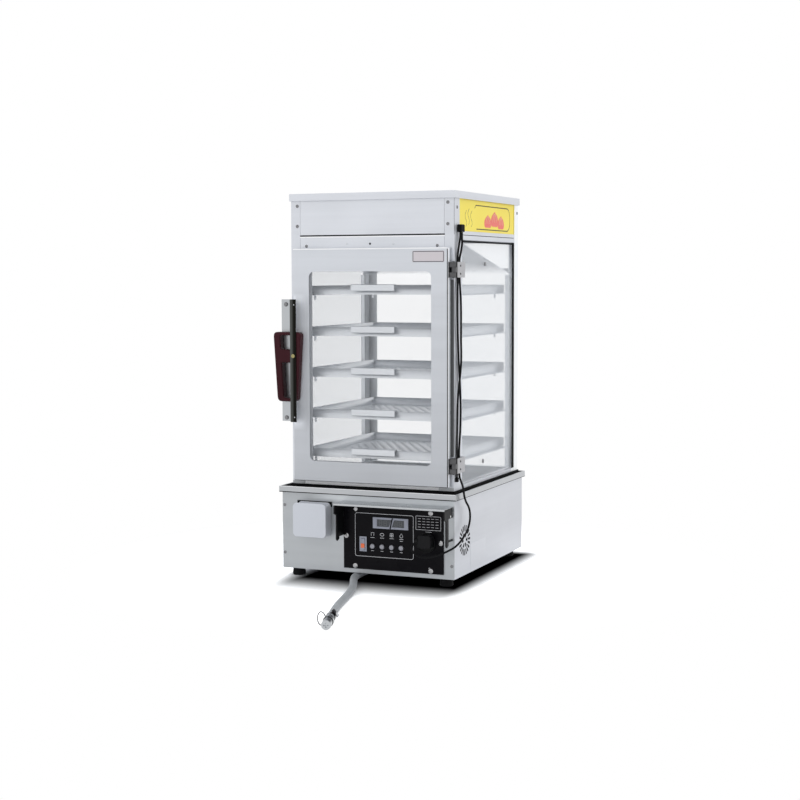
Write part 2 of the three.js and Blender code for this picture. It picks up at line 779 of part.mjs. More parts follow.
function makeFan() {
  const half = fan_size / 2;
  const shape = rectangle(THREE.Shape, fan_y - half, fan_y + half, fan_axis_z - half, fan_axis_z + half);
  shape.holes.push(disc(THREE.Path, fan_y, fan_axis_z, fan_throat, round_sides));
  const frame = sidePlate(shape, fan_left_x, fan_right_x);
  const hub_shape = disc(THREE.Shape, fan_y, fan_axis_z, fan_hub_radius, small_sides);
  const hub = sidePlate(hub_shape, fan_left_x, fan_left_x + fan_web);
  const struts = Array.from({ length: fan_struts }, (_, i) => slab(
    fan_left_x, fan_left_x + fan_web, -fan_web, fan_web, 0, fan_throat + fan_web,
  ).rotateX(2 * Math.PI * i / fan_struts).translate(0, fan_y, fan_axis_z));
  const bore = sidePlate(
    disc(THREE.Shape, fan_y, fan_axis_z, fan_pin_radius + fan_pin_clearance, pin_sides),
    fan_left_x - overrun, fan_left_x + fan_web + overrun,
  );
  add('fan_frame', cut(fuse(frame, hub, ...struts), bore), black_plastic);

  const rotor_left = fan_left_x + fan_web + fit;
  const rotor_right = fan_right_x - fan_web;
  const rotor_hub = sidePlate(hub_shape, rotor_left, rotor_right);
  const pin_shape = disc(THREE.Shape, fan_y, fan_axis_z, fan_pin_radius, pin_sides);
  const pin = sidePlate(pin_shape, fan_left_x, rotor_left + fan_web);
  const blade_middle = (rotor_left + rotor_right) / 2;
  const blade_half = (rotor_right - rotor_left) / 2 - fan_web / 2;
  const blades = Array.from({ length: fan_blades }, (_, i) => slab(
    -blade_half, blade_half, -fan_blade_thickness / 2, fan_blade_thickness / 2,
    fan_hub_radius - fan_web, fan_throat - fan_blade_gap - fan_web,
  ).rotateZ(fan_blade_pitch).rotateX(2 * Math.PI * i / fan_blades)
    .translate(blade_middle, fan_y, fan_axis_z));
  add('fan_rotor', fuse(rotor_hub, pin, ...blades), black_plastic);
}

// Hood over the control panel: a steel ledge on two black side arms
const hood_reach = 46;
const hood_top = 165;
const hood_right_inset = 3.5;
const hood_lip = 4;
const arm_thickness = 3;
const hood_left = panel_left - fit - arm_thickness;
const arm_foot = 86;
const arm_wide_height = 20;
const arm_bar_reach = 22;
const arm_bar_width = 12;
const arm_pin_height = 10;

function makeHood() {
  const right = base_right - hood_right_inset;
  const back = base_front_y - fit;
  const front = back - hood_reach;
  const profile = polygon(THREE.Shape, [
    [back, hood_top], [front, hood_top], [front, hood_top - hood_lip], [front + sheet, hood_top - hood_lip],
    [front + sheet, hood_top - sheet], [back, hood_top - sheet],
  ]);
  add('panel_hood', sidePlate(profile, hood_left, right), polished);
  const arm_top = hood_top - sheet - fit;
  const arm_front = front + sheet + fit;
  const bar_back = back - arm_bar_reach;
  const bar_front = bar_back - arm_bar_width;
  const shape = polygon(THREE.Shape, [
    [back, arm_top], [arm_front, arm_top], [arm_front, arm_top - arm_wide_height],
    [bar_front, arm_top - arm_wide_height - hood_lip], [bar_front, arm_foot + hood_lip],
    [bar_front + hood_lip, arm_foot], [bar_back, arm_foot + hood_lip], [bar_back, arm_foot + arm_pin_height],
    [back, arm_foot + arm_pin_height], [back, arm_foot + arm_pin_height + hood_lip],
    [bar_back, arm_foot + arm_pin_height + hood_lip], [bar_back, arm_top - arm_wide_height],
    [back, arm_top - arm_wide_height],
  ]);
  add('hood_arm_left', sidePlate(shape, hood_left, hood_left + arm_thickness), black_plastic);
  add('hood_arm_right', sidePlate(shape, right - arm_thickness, right), black_plastic);
}

// Cabinet frame: four folded corner posts welded to a bottom frame whose
// ledge carries the glass and the tray racks
function makeCabinetFrame() {
  const leg = (sx, front) => {
    const outer_x = sx * cabinet_right;
    const y_outer = front ? cabinet_front_y : cabinet_back_y;
    const inward = front ? 1 : -1;
    const side_width = front ? front_post_side_width : rear_post_side_width;
    const across = slab(
      Math.min(outer_x, outer_x - sx * post_front_width), Math.max(outer_x, outer_x - sx * post_front_width),
      Math.min(y_outer, y_outer + inward * sheet), Math.max(y_outer, y_outer + inward * sheet),
      cabinet_bottom, under_roof,
    );
    const along = slab(
      Math.min(outer_x, outer_x - sx * sheet), Math.max(outer_x, outer_x - sx * sheet),
      Math.min(y_outer, y_outer + inward * side_width), Math.max(y_outer, y_outer + inward * side_width),
      cabinet_bottom, head_bottom,
    );
    const head_width = front ? sign_side_strip : rear_post_side_width;
    const head_strip = slab(
      Math.min(outer_x, outer_x - sx * sheet), Math.max(outer_x, outer_x - sx * sheet),
      Math.min(y_outer, y_outer + inward * head_width), Math.max(y_outer, y_outer + inward * head_width),
      cabinet_bottom, under_roof,
    );
    return [across, along, head_strip];
  };
  const posts = [leg(-1, true), leg(1, true), leg(-1, false), leg(1, false)].flat();
  const right = cabinet_right - sheet / 2;
  const front = cabinet_front_y + sheet / 2;
  const back = cabinet_back_y - sheet / 2;
  const wall_shape = rectangle(THREE.Shape, -right, right, front, back);
  wall_shape.holes.push(rectangle(THREE.Path, -right + sheet, right - sheet, front + sheet, back - sheet));
  const ledge_shape = rectangle(THREE.Shape, -right, right, front, back);
  ledge_shape.holes.push(rectangle(
    THREE.Path, -right + ledge_width, right - ledge_width, front + ledge_width, back - ledge_width,
  ));
  const wall = floorPlate(wall_shape, cabinet_bottom, cabinet_glass_bottom);
  const ledge = floorPlate(ledge_shape, cabinet_glass_bottom - sheet, cabinet_glass_bottom);
  add('cabinet_frame', fuse(wall, ledge, ...posts), brushed);
}

// Glass: both sides and the back, standing on the ledge behind the posts
const glass_bottom = cabinet_glass_bottom + fit;
const glass_top = head_bottom - fit * 2;
const side_glass_x = cabinet_right - sheet * 3 / 2 - fit;
const back_glass_y = cabinet_back_y - sheet * 3 / 2 - fit;

function makeGlass() {
  const front = cabinet_front_y + sheet * 3 / 2 + fit;
  const back = back_glass_y - glass_thickness - fit;
  const inner = side_glass_x - glass_thickness;
  add('glass_right', slab(inner, side_glass_x, front, back, glass_bottom, glass_top), clear_glass);
  add('glass_left', slab(-side_glass_x, -inner, front, back, glass_bottom, glass_top), clear_glass);
  add('glass_back', slab(
    -side_glass_x, side_glass_x, back_glass_y - glass_thickness, back_glass_y, glass_bottom, glass_top,
  ), clear_glass);
}

// Trays and the racks they run on
const tray_right = cabinet_right - post_front_width - tray_side_gap;
const tray_front_y = cabinet_front_y + tray_setback;
const tray_back_y = tray_front_y + tray_depth;
const rack_flange = 12;          // runner that lies under the tray
const rack_upright_width = 16;
const rack_upright_thickness = 2;
const rack_end_gap = 18;
const rack_tab_height = 11;
const rack_top_run = 40;
const rack_outer_x = side_glass_x - glass_thickness - fit;
const tray_handle_width = 97;
const tray_handle_reach = 13;
const tray_handle_height = 14;
const tray_handle_rise = 3;
const tray_hole_rows = 6;
const tray_hole_columns = 4;
const tray_hole_share = 0.3;     // hole's radius as a share of its pitch
const tray_hole_sides = 6;
const tray_stagger_share = 0.25; // share of the pitch that every other row moves over
const tray_lip_share = 0.3;      // share of the handle's reach that its lower edge turns back

function trayBottom(i) {
  const level = tray_count - 1 - i;
  return lowest_tray_bottom + level * tray_pitch - (level > 0 ? lowest_tray_lift : 0);
}

function makeTray(i) {
  const bottom = trayBottom(i);
  const top = bottom + tray_height;
  const floor_shape = rectangle(THREE.Shape, -tray_right, tray_right, tray_front_y, tray_back_y);
  const pitch_x = 2 * tray_right / (tray_hole_columns + 1);
  const pitch_y = tray_depth / (tray_hole_rows + 1);
  const radius = Math.min(pitch_x, pitch_y) * tray_hole_share;
  for (let row = 0; row < tray_hole_rows; row += 1) {
    const stagger = pitch_x * (row % 2 === 0 ? tray_stagger_share : -tray_stagger_share);
    for (let column = 0; column < tray_hole_columns; column += 1) {
      const x = -tray_right + (column + 1) * pitch_x + stagger;
      const y = tray_front_y + (row + 1) * pitch_y;
      floor_shape.holes.push(disc(THREE.Path, x, y, radius, tray_hole_sides));
    }
  }
  const wall_shape = rectangle(THREE.Shape, -tray_right, tray_right, tray_front_y, tray_back_y);
  wall_shape.holes.push(rectangle(
    THREE.Path,
    -tray_right + tray_sheet, tray_right - tray_sheet, tray_front_y + tray_sheet, tray_back_y - tray_sheet,
  ));
  const handle_top = top + tray_handle_rise;
  const handle_front = tray_front_y - tray_handle_reach;
  const handle_low = handle_top - tray_handle_height;
  const handle_lip = tray_handle_reach * tray_lip_share;
  const handle_shape = polygon(THREE.Shape, [
    [tray_front_y + tray_sheet, top - tray_handle_rise], [tray_front_y + tray_sheet, handle_top],
    [handle_front, handle_top], [handle_front, handle_low], [handle_front + handle_lip, handle_low],
    [handle_front + handle_lip, handle_low + tray_sheet],
    [handle_front + tray_sheet, handle_low + tray_sheet],
    [handle_front + tray_sheet, handle_top - tray_sheet], [tray_front_y, handle_top - tray_sheet],
    [tray_front_y, top - tray_handle_rise],
  ]);
  const floor = floorPlate(floor_shape, bottom, bottom + tray_sheet);
  const wall = floorPlate(wall_shape, bottom, top);
  const handle = sidePlate(handle_shape, -tray_handle_width / 2, tray_handle_width / 2);
  add(`tray_${i + 1}`, fuse(floor, wall, handle), polished);
}

function makeRack(name, side) {
  const inner_x = tray_right - rack_flange;
  const front = tray_front_y + rack_end_gap;
  const back = tray_back_y - rack_end_gap;
  const upright_x = rack_outer_x - rack_upright_thickness;
  const top = trayBottom(0) + rack_top_run;
  const mirrored = (x0, x1, ...rest) => {
    const [low, high] = [side * x0, side * x1].sort((a, b) => a - b);
    return slab(low, high, ...rest);
  };
  const pieces = [
    mirrored(upright_x, rack_outer_x, front, front + rack_upright_width, glass_bottom, top),
    mirrored(upright_x, rack_outer_x, back - rack_upright_width, back, glass_bottom, top),
  ];
  for (let i = 0; i < tray_count; i += 1) {
    const runner_top = trayBottom(i) - fit;
    pieces.push(mirrored(inner_x, rack_outer_x, front, back, runner_top - sheet, runner_top));
    for (const y of [front, back - rack_upright_width]) {
      pieces.push(mirrored(
        inner_x, inner_x + sheet, y, y + rack_upright_width / 2, runner_top - rack_tab_height, runner_top,
      ));
    }
  }
  add(name, fuse(...pieces), brushed);
}

// Head front: the plain fascia over the lintel that the door closes on, with
// the open seam between them
function makeHeadFront() {
  const right = cabinet_right - post_front_width - fit;
  const y0 = cabinet_front_y;
  const seam_top = head_bottom + head_front_seam;
  const seam_margin = post_front_width / 2;
  const shape = rectangle(THREE.Shape, -right, right, door_top - rebate, under_roof);
  shape.holes.push(rectangle(THREE.Path, -right + seam_margin, right - seam_margin, head_bottom, seam_top));
  add('head_front', frontPlate(shape, y0, y0 + sheet), brushed);
}

// Head shell: the plain left side, the back and the rail under the sign
const head_rail_bottom = head_bottom - head_rail_height + rebate;

function makeHeadShell() {
  const front = cabinet_front_y + sign_side_strip + fit;
  const low_front = cabinet_front_y + front_post_side_width + fit;
  const back = cabinet_back_y - rear_post_side_width - fit;
  const left_x = -cabinet_right;
  const rail_top = head_rail_bottom + head_rail_height;
  const left = slab(left_x, left_x + sheet, low_front, back, head_rail_bottom, under_roof);
  const right_rail = slab(cabinet_right - sheet, cabinet_right, low_front, back, head_rail_bottom, rail_top);
  const back_right = cabinet_right - post_front_width - fit;
  const back_plate = slab(
    -back_right, back_right, cabinet_back_y - sheet, cabinet_back_y, head_rail_bottom, under_roof,
  );
  const deck_right = cabinet_right - sheet - fit;
  const deck_shape = rectangle(
    THREE.Shape, -deck_right, deck_right, cabinet_front_y + sheet + fit, cabinet_back_y - sheet - fit,
  );
  const deck_top = head_bottom + sheet;
  const deck = floorPlate(deck_shape, head_bottom, deck_top);
  const left_tie = slab(left_x + sheet / 2, -deck_right + sheet, low_front, back, head_bottom, deck_top);
  const right_tie = slab(
    deck_right - sheet, cabinet_right - sheet / 2, low_front, back, head_bottom, deck_top,
  );
  const back_tie = slab(
    -back_right, back_right, cabinet_back_y - sheet * 2, cabinet_back_y - sheet / 2, head_bottom, deck_top,
  );
  add('head_shell', fuse(left, right_rail, back_plate, deck, left_tie, right_tie, back_tie), brushed);
}

const sign_thickness = 3;
const sign_overlap = 6;
const sign_bottom = head_bottom + sheet + fit;

function makeSign() {
  const x1 = cabinet_right - sheet - fit;
  const front = cabinet_front_y + sign_side_strip - sign_overlap;
  const back = cabinet_back_y - rear_post_side_width + sign_overlap;
  add('sign_panel', slab(x1 - sign_thickness, x1, front, back, sign_bottom, under_roof), sign_acrylic);
}

// Drip guard: a sloping sheet under the head that sheds water to the back
function makeDripGuard() {
  const side = rack_outer_x - fit;
  const front = cabinet_front_y + tray_setback * 2;
  const back = tray_back_y - rack_end_gap;
  const top = head_bottom - fit;
  const hem = 9;
  const fall = (back - front) * drip_slope;
  const profile = polygon(THREE.Shape, [
    [front, top], [front + hem, top], [front + hem, top - sheet], [front + sheet, top - sheet],
    [front + sheet, top - hem], [back, top - hem - fall], [back, top - hem - fall + hem],
    [back + sheet, top - hem - fall + hem], [back + sheet, top - hem - fall - sheet],
    [front, top - hem - sheet],
  ]);
  add('drip_guard', sidePlate(profile, -side, side), brushed);
}

// Lamp behind the sign: a batten with two holders and the tube between them
const lamp_radius = 8;
const lamp_length = 280;
const lamp_inset = 24;
const lamp_holder = 8;
const lamp_batten_width = 22;
const lamp_batten_height = 12;
const lamp_axis_rise = 24;       // lamp's axis above the deck
const lamp_pin_radius = 2;

function makeLamp() {
  const x = cabinet_right - lamp_inset;
  const middle_y = (cabinet_front_y + cabinet_back_y) / 2;
  const y0 = middle_y - lamp_length / 2;
  const y1 = middle_y + lamp_length / 2;
  const low = head_bottom + sheet + fit;
  const axis_z = low + lamp_axis_rise;
  const half = lamp_batten_width / 2;
  const batten = slab(x - half, x + half, y0, y1, low, low + lamp_batten_height);
  const holder_top = axis_z + lamp_radius;
  const holders = [
    slab(x - lamp_radius, x + lamp_radius, y0, y0 + lamp_holder, low, holder_top),
    slab(x - lamp_radius, x + lamp_radius, y1 - lamp_holder, y1, low, holder_top),
  ];
  const pin_bore = rodY(lamp_pin_radius + fit, y0 - overrun, y1 + overrun, pin_sides, x, axis_z);
  add('lamp_batten', cut(fuse(batten, ...holders), pin_bore), cup_plastic);
  const glass = rodY(
    lamp_radius - fit, y0 + lamp_holder + fit, y1 - lamp_holder - fit, small_sides, x, axis_z,
  );
  const pins = rodY(lamp_pin_radius, y0 + fit, y1 - fit, pin_sides, x, axis_z);
  add('lamp_tube', fuse(glass, pins), lamp_white);
}

// Roof cap: a top sheet with a skirt folded down over the frame
function makeRoofCap() {
  const right = cabinet_right + roof_overhang;
  const front = cabinet_front_y - roof_overhang;
  const back = cabinet_back_y + roof_overhang;
  const block = slab(-right, right, front, back, roof_bottom, total_height);
  const hollow = slab(
    -right + sheet, right - sheet, front + sheet, back - sheet, roof_bottom - overrun, total_height - sheet,
  );
  add('roof_cap', cut(block, hollow), polished);
}

// Door frame: a folded pan, open at the back, with a window and two lugs
// for the handle's rail
const lug_reach = 26;
const lug_height = 18;
const lug_depth = 9;
const rail_height = 253;
const rail_rise = 123.5;         // door's bottom to the rail's
const rail_bottom = door_bottom + rail_rise;
const rail_end_bolt = 10;

function makeDoorFrame() {
  const outer = frontPlate(
    rectangle(THREE.Shape, door_left, door_right, door_bottom, door_top), door_front_y, door_back_y,
  );
  const hollow_inset = rebate * 2;
  const hollow_shape = rectangle(
    THREE.Shape, door_left + sheet, door_right - sheet, door_bottom + sheet, door_top - sheet,
  );
  hollow_shape.holes.push(rectangle(
    THREE.Path,
    window_left - hollow_inset, window_right + hollow_inset,
    window_bottom - hollow_inset, window_top + hollow_inset,
  ));
  const hollow = frontPlate(hollow_shape, door_front_y + sheet, door_back_y + overrun);
  const seat = frontPlate(rectangle(
    THREE.Shape, window_left - rebate, window_right + rebate, window_bottom - rebate, window_top + rebate,
  ), door_front_y + sheet, door_back_y + overrun);
  const opening = frontPlate(rectangle(
    THREE.Shape, window_left, window_right, window_bottom, window_top, window_radius,
  ), door_front_y - overrun, door_back_y + overrun);
  const lugs = [rail_bottom + rail_end_bolt, rail_bottom + rail_height - rail_end_bolt].map((z) => slab(
    door_left - lug_reach, door_left + sheet / 2, door_front_y, door_front_y + lug_depth,
    z - lug_height / 2, z + lug_height / 2,
  ));
  add('door_frame', fuse(cut(outer, hollow, seat, opening), ...lugs), brushed);
}

function makeDoorGlass() {
  const inset = rebate - fit;
  const front = door_front_y + sheet + fit;
  add('door_glass', slab(
    window_left - inset, window_right + inset, front, front + glass_thickness,
    window_bottom - inset, window_top + inset,
  ), clear_glass);
}

// Door gasket: a soft square frame that backs the glass and closes on the
// cabinet
function makeDoorGasket() {
  const inset = rebate - fit;
  const lap = stile_width / 2;
  const shape = rectangle(
    THREE.Shape, window_left - inset, window_right + inset, window_bottom - inset, window_top + inset,
  );
  shape.holes.push(rectangle(
    THREE.Path,
    window_left - fit, window_right + fit, window_bottom - fit, window_top + fit,
  ));
  const front = door_front_y + sheet + glass_thickness + fit * 2;
  const core = frontPlate(shape, front, door_back_y);
  const flap_shape = rectangle(
    THREE.Shape,
    window_left - lap, window_right + lap, window_bottom - lap, window_top + lap,
  );
  flap_shape.holes.push(rectangle(
    THREE.Path, window_left - fit, window_right + fit, window_bottom - fit, window_top + fit,
  ));
  const flap = frontPlate(flap_shape, door_back_y + fit, cabinet_front_y - fit);
  const joint = frontPlate(shape, door_back_y - fit, door_back_y + fit * 2);
  add('door_gasket', fuse(core, joint, flap), rubber);
}

// Handle: a moulded double ring held between the rail's two flanges
const handle_middle_x = -174.7;
const handle_top_half = 31.5;
const handle_bottom_half = 22.5;
const handle_rise = 165.5;       // door's bottom to the handle's
const handle_bottom = door_bottom + handle_rise;
const handle_height = 144;
const handle_thickness = 18;
const handle_bar = 14.5;
const handle_end_bar = 7;
const handle_cross_low_share = 0.56;
const handle_cross_high_share = 0.75;
const handle_corner_share = 0.42;
const rail_rear_width = 31;
const rail_thickness = 2;
const rail_front_width = 13.5;
const rail_left = -195;
const rail_window_gap = 3;
const rail_rear_y = door_front_y - fit;
const handle_back_y = rail_rear_y - rail_thickness - fit;
const handle_front_y = handle_back_y - handle_thickness;
const rail_front_y = handle_front_y - fit - rail_thickness;
const handle_slant = handle_top_half - handle_bottom_half;
const handle_corner_radius = handle_bottom_half * handle_corner_share;

function roundedOutline(Kind, corners, radius) {
  const path = new Kind();
  const count = corners.length;
  corners.forEach((corner, i) => {
    const here = new THREE.Vector2(...corner);
    const before = new THREE.Vector2(...corners[(i + count - 1) % count]);
    const after = new THREE.Vector2(...corners[(i + 1) % count]);
    const enter = here.clone().add(before.clone().sub(here).setLength(radius));
    const leave = here.clone().add(after.clone().sub(here).setLength(radius));
    if (i === 0) {
      path.moveTo(enter.x, enter.y);
    } else {
      path.lineTo(enter.x, enter.y);
    }
    path.quadraticCurveTo(here.x, here.y, leave.x, leave.y);
  });
  path.closePath();
  return path;
}

function makeDoorHandle() {
  const top = handle_bottom + handle_height;
  const half_at = (z) => handle_bottom_half + handle_slant * (z - handle_bottom) / handle_height;
  const ring = (Kind, low, high, bar, radius) => {
    const low_half = half_at(low) - bar;
    const high_half = half_at(high) - bar;
    return roundedOutline(Kind, [
      [handle_middle_x - low_half, low], [handle_middle_x + low_half, low],
      [handle_middle_x + high_half, high], [handle_middle_x - high_half, high],
    ], radius);
  };
  const outline = ring(THREE.Shape, handle_bottom, top, 0, handle_corner_radius);
  const cross_low = handle_bottom + handle_height * handle_cross_low_share;
  const cross_high = handle_bottom + handle_height * handle_cross_high_share;
  const hole_radius = handle_corner_radius / 2;
  outline.holes.push(
    ring(THREE.Path, handle_bottom + handle_end_bar, cross_low, handle_bar, hole_radius),
    ring(THREE.Path, cross_high, top - handle_end_bar, handle_bar, hole_radius),
  );
  add('door_handle', frontPlate(outline, handle_front_y, handle_back_y), bakelite);
}

// Handle rail: a Z section whose web is open where the handle sits
function makeHandleRail() {
  const top = rail_bottom + rail_height;
  const web_x = rail_left + rail_rear_width;
  const rear = slab(
    rail_left, web_x, rail_rear_y - rail_thickness, rail_rear_y, rail_bottom, top,
  );
  const front = slab(
    web_x - rail_thickness, web_x - rail_thickness + rail_front_width,
    rail_front_y, rail_front_y + rail_thickness, rail_bottom, top,
  );
  const handle_top = handle_bottom + handle_height;
  const web = (low, high) => slab(web_x - rail_thickness, web_x, rail_front_y, rail_rear_y, low, high);
  const low_web = web(rail_bottom, handle_bottom - rail_window_gap);
  const high_web = web(handle_top + rail_window_gap, top);
  add('handle_rail', fuse(rear, front, low_web, high_web), polished);
}

// Hinges: a door leaf with two knuckles, a cabinet leaf with one knuckle and
// the pin; the cabinet leaf stands off the post so that the leads pass behind
const hinge_height = 31;
const hinge_top_inset = 60;      // door's top to the upper hinge's lower end
const hinge_bottom_inset = 27;
const hinge_upper_z = door_top - hinge_top_inset;
const hinge_lower_z = door_bottom + hinge_bottom_inset;
const hinge_radius = 5;
const hinge_pin_radius = 2;
const hinge_pin_gap = 0.25;
const hinge_knuckle_gap = 0.3;
const hinge_axis_x = cabinet_right + sheet;
const hinge_standoff = 8;        // pin's axis in front of the cabinet
const hinge_leaf_gap = 1;
const hinge_axis_y = cabinet_front_y - hinge_standoff;
const hinge_leaf_reach = 44;
const hinge_pad = 8;
const hinge_front_pad = 6;
const hinge_pin_head = 1.2;
const hinge_knuckles = 3;

function makeHinge(name, low) {
  const high = low + hinge_height;
  const knuckle_height = hinge_height / hinge_knuckles;
  const barrel = (z0, z1, radius) => rod(radius, z0, z1, small_sides, hinge_axis_x, hinge_axis_y);
  const plate_x = hinge_axis_x + hinge_radius - sheet;
  const plate_front = hinge_axis_y + hinge_radius + hinge_leaf_gap;
  const plate_back = cabinet_front_y + hinge_leaf_reach;
  const middle_low = low + knuckle_height + hinge_knuckle_gap;
  const middle_high = high - knuckle_height - hinge_knuckle_gap;
  const pad_x = cabinet_right + fit;
  const cabinet_leaf = fuse(
    slab(plate_x, plate_x + sheet, plate_front, plate_back, low, high),
    slab(plate_x, plate_x + sheet, hinge_axis_y, plate_front + sheet, middle_low, middle_high),
    barrel(middle_low, middle_high, hinge_radius),
    slab(pad_x, plate_x + sheet, plate_back - hinge_pad, plate_back, low, high),
    slab(pad_x, plate_x + sheet, cabinet_front_y + fit, cabinet_front_y + hinge_front_pad, low, high),
    barrel(low - hinge_pin_head, high, hinge_pin_radius),
    barrel(high + hinge_knuckle_gap, high + hinge_knuckle_gap + hinge_pin_head, hinge_radius - sheet),
    barrel(high - sheet, high + hinge_knuckle_gap + hinge_pin_head, hinge_pin_radius),
  );
  add(`${name}_cabinet_leaf`, cabinet_leaf, polished);
  const leaf_x = door_right + fit;
  const knuckle = (z0, z1) => fuse(
    barrel(z0, z1, hinge_radius),
    slab(leaf_x, hinge_axis_x, hinge_axis_y - hinge_radius, hinge_axis_y - hinge_radius + sheet, z0, z1),
  );
  const door_leaf = fuse(
    slab(leaf_x, leaf_x + sheet, door_front_y + sheet, door_back_y - fit, low, high),
    knuckle(low, low + knuckle_height),
    knuckle(high - knuckle_height, high),
  );
  const bore = barrel(low - overrun, high + overrun, hinge_pin_radius + hinge_pin_gap);
  const relief = slab(
    leaf_x + sheet, hinge_axis_x + hinge_radius + overrun,
    hinge_axis_y - hinge_radius - overrun, hinge_axis_y + hinge_radius + overrun,
    low + knuckle_height, high - knuckle_height,
  );
  add(`${name}_door_leaf`, cut(door_leaf, bore, relief), polished);
}

// Leads at the hinge side: two thin cables leave a gland under the sign and
// run down the post; one goes to the plug, the other back into the case
const gland_rise = 5.4;          // head's bottom to the gland's
const gland_z = head_bottom + gland_rise;
const gland_height = 15;
const gland_depth = 9;
const gland_width = 20;
const gland_y = -157;
const gland_radius = 3;
const grommet_y = -174.5;
const grommet_top = 219;
const grommet_size = 9;
const grommet_depth = 5;
const grommet_radius = 2;

function makeGlands() {
  const x0 = cabinet_right + fit;
  const gland = sidePlate(rectangle(
    THREE.Shape, gland_y - gland_width / 2, gland_y + gland_width / 2,
    gland_z, gland_z + gland_height, gland_radius,
  ), x0, x0 + gland_depth);
  add('lead_gland', gland, black_plastic);
  const grommet = sidePlate(rectangle(
    THREE.Shape, grommet_y - grommet_size / 2, grommet_y + grommet_size / 2,
    grommet_top - grommet_size, grommet_top, grommet_radius,
  ), x0, x0 + grommet_depth);
  add('lead_grommet', grommet, black_plastic);
}

// Routes, chosen by hand
const lamp_lead_route = [
  [186, -161.5, 711.7], [186, -161.7, 702], [185.4, -167, 686], [183.8, -170.5, 666], [183.5, -168.5, 645],
  [183.5, -167.5, 626], [184, -172.5, 600], [184.4, -175, 566], [184.4, -173.5, 526], [184, -168.5, 484],
  [183.5, -164, 450], [184.2, -158.8, 404], [184.4, -155.5, 354], [184.3, -158, 312], [183.6, -162, 276],
  [183.5, -162.4, 254], [183.5, -162, 233], [185, -163, 219], [190, -167.5, 210.5], [196.5, -177, 204],
  [202.3, -186.5, 196.5], [204.8, -188.5, 184], [205, -178, 170.5], [204.8, -164.5, 160],
  [204.4, -155.5, 147.5], [204.3, -154.5, 133.5], [204.8, -162, 121.5], [205.8, -175, 112.5],
  [206.5, -191, 105.5], [206.5, -207, 99], [204.5, -221.5, 92.5], [199, -234, 86], [188, -242.5, 79.5],
  [170, -246, 71.5], [148, -246, 65.8], [129, -243.8, 66.3], [115.5, -240.5, 72.5], [110.3, -237.5, 81],
];
const second_lead_route = [
  [186, -152.5, 711.7], [186, -152.3, 702], [185.8, -151.5, 688], [184.8, -154.5, 673], [183.6, -159.5, 659],
  [183.5, -161, 644], [183.5, -160.5, 627], [183.8, -158.3, 607], [184.4, -155.2, 580], [184.6, -153.8, 550],
  [184.8, -154.5, 520], [186, -157.5, 492], [187.8, -161, 468], [188.6, -164.5, 446], [187.8, -168, 422],
  [185.8, -171.5, 394], [184.6, -174.2, 362], [184.4, -175.4, 330], [184, -175.2, 300], [183.6, -174.2, 274],
  [183.75, -173.9, 254], [183.75, -174.4, 236], [183.75, -174.5, 219.3],
];

const lead_sides = 8;
const lamp_lead_steps = 62;
const plug_run = 6;              // lead that leaves the plug's nose straight
const second_lead_steps = 44;

function leadCurve(route, ...last) {
  const points = route.map(([x, y, z]) => new THREE.Vector3(x, y, z));
  return new THREE.CatmullRomCurve3([...points, ...last], false, 'centripetal');
}

function makeLeads() {
  const away = plug_nose_end.clone().sub(plug_nose_root).normalize();
  const end = plug_nose_end.clone().addScaledVector(away, fit);
  const straight = end.clone().addScaledVector(away, plug_run);
  const lamp_curve = leadCurve(lamp_lead_route, straight, end);
  add('lamp_lead', tube(lamp_curve, lead_radius, lead_sides, lamp_lead_steps), rubber);
  const second_curve = leadCurve(second_lead_route);
  add('second_lead', tube(second_curve, lead_radius, lead_sides, second_lead_steps), rubber);
}

// Drain hose on the worktop: its route gives each point's rise too, because
// the clamp and the fitting lift its end. Then its clamp and end fitting
const hose_route = [
  [-32, -150, 0], [-32, -165, 0], [-30.5, -184, 0], [-27.5, -204, 0], [-22.5, -224, 0], [-14.5, -244, 0],
  [-4, -268, 0], [8, -296, 0], [19.5, -326, 0], [30, -358, 0], [39.5, -392, 0], [49, -430, 0],
  [59, -470, 0.1], [70, -508, 0.5], [82, -544, 1.2], [93.5, -578, 1.6], [100, -597.5, 1.6],
];
const hose_steps = 20;
const hose_radius = hose_diameter / 2 - fit;
const fitting_bore = 6;
const fitting_neck_length = 10;
const fitting_collar_radius = 9.6;
const fitting_collar_length = 14;
const fitting_groove_radius = 8.2;
const fitting_groove_length = 4;
const fitting_mouth_radius = 8.8;
const fitting_mouth_length = 28;
const clamp_setback = 6;         // hose's end to the clamp's band
const clamp_width = 10;
const clamp_thickness = 1;
const clamp_screw_radius = 3.2;
const clamp_screw_length = 16;
const clamp_turn = 5 * Math.PI / 18;

function hoseCurve() {
  const start = new THREE.Vector3(drain_x, drain_y - drain_nozzle - fit, hose_axis_z);
  const points = hose_route.map(([x, y, rise]) => new THREE.Vector3(x, y, hose_axis_z + rise));
  return new THREE.CatmullRomCurve3([start, ...points], false, 'centripetal');
}

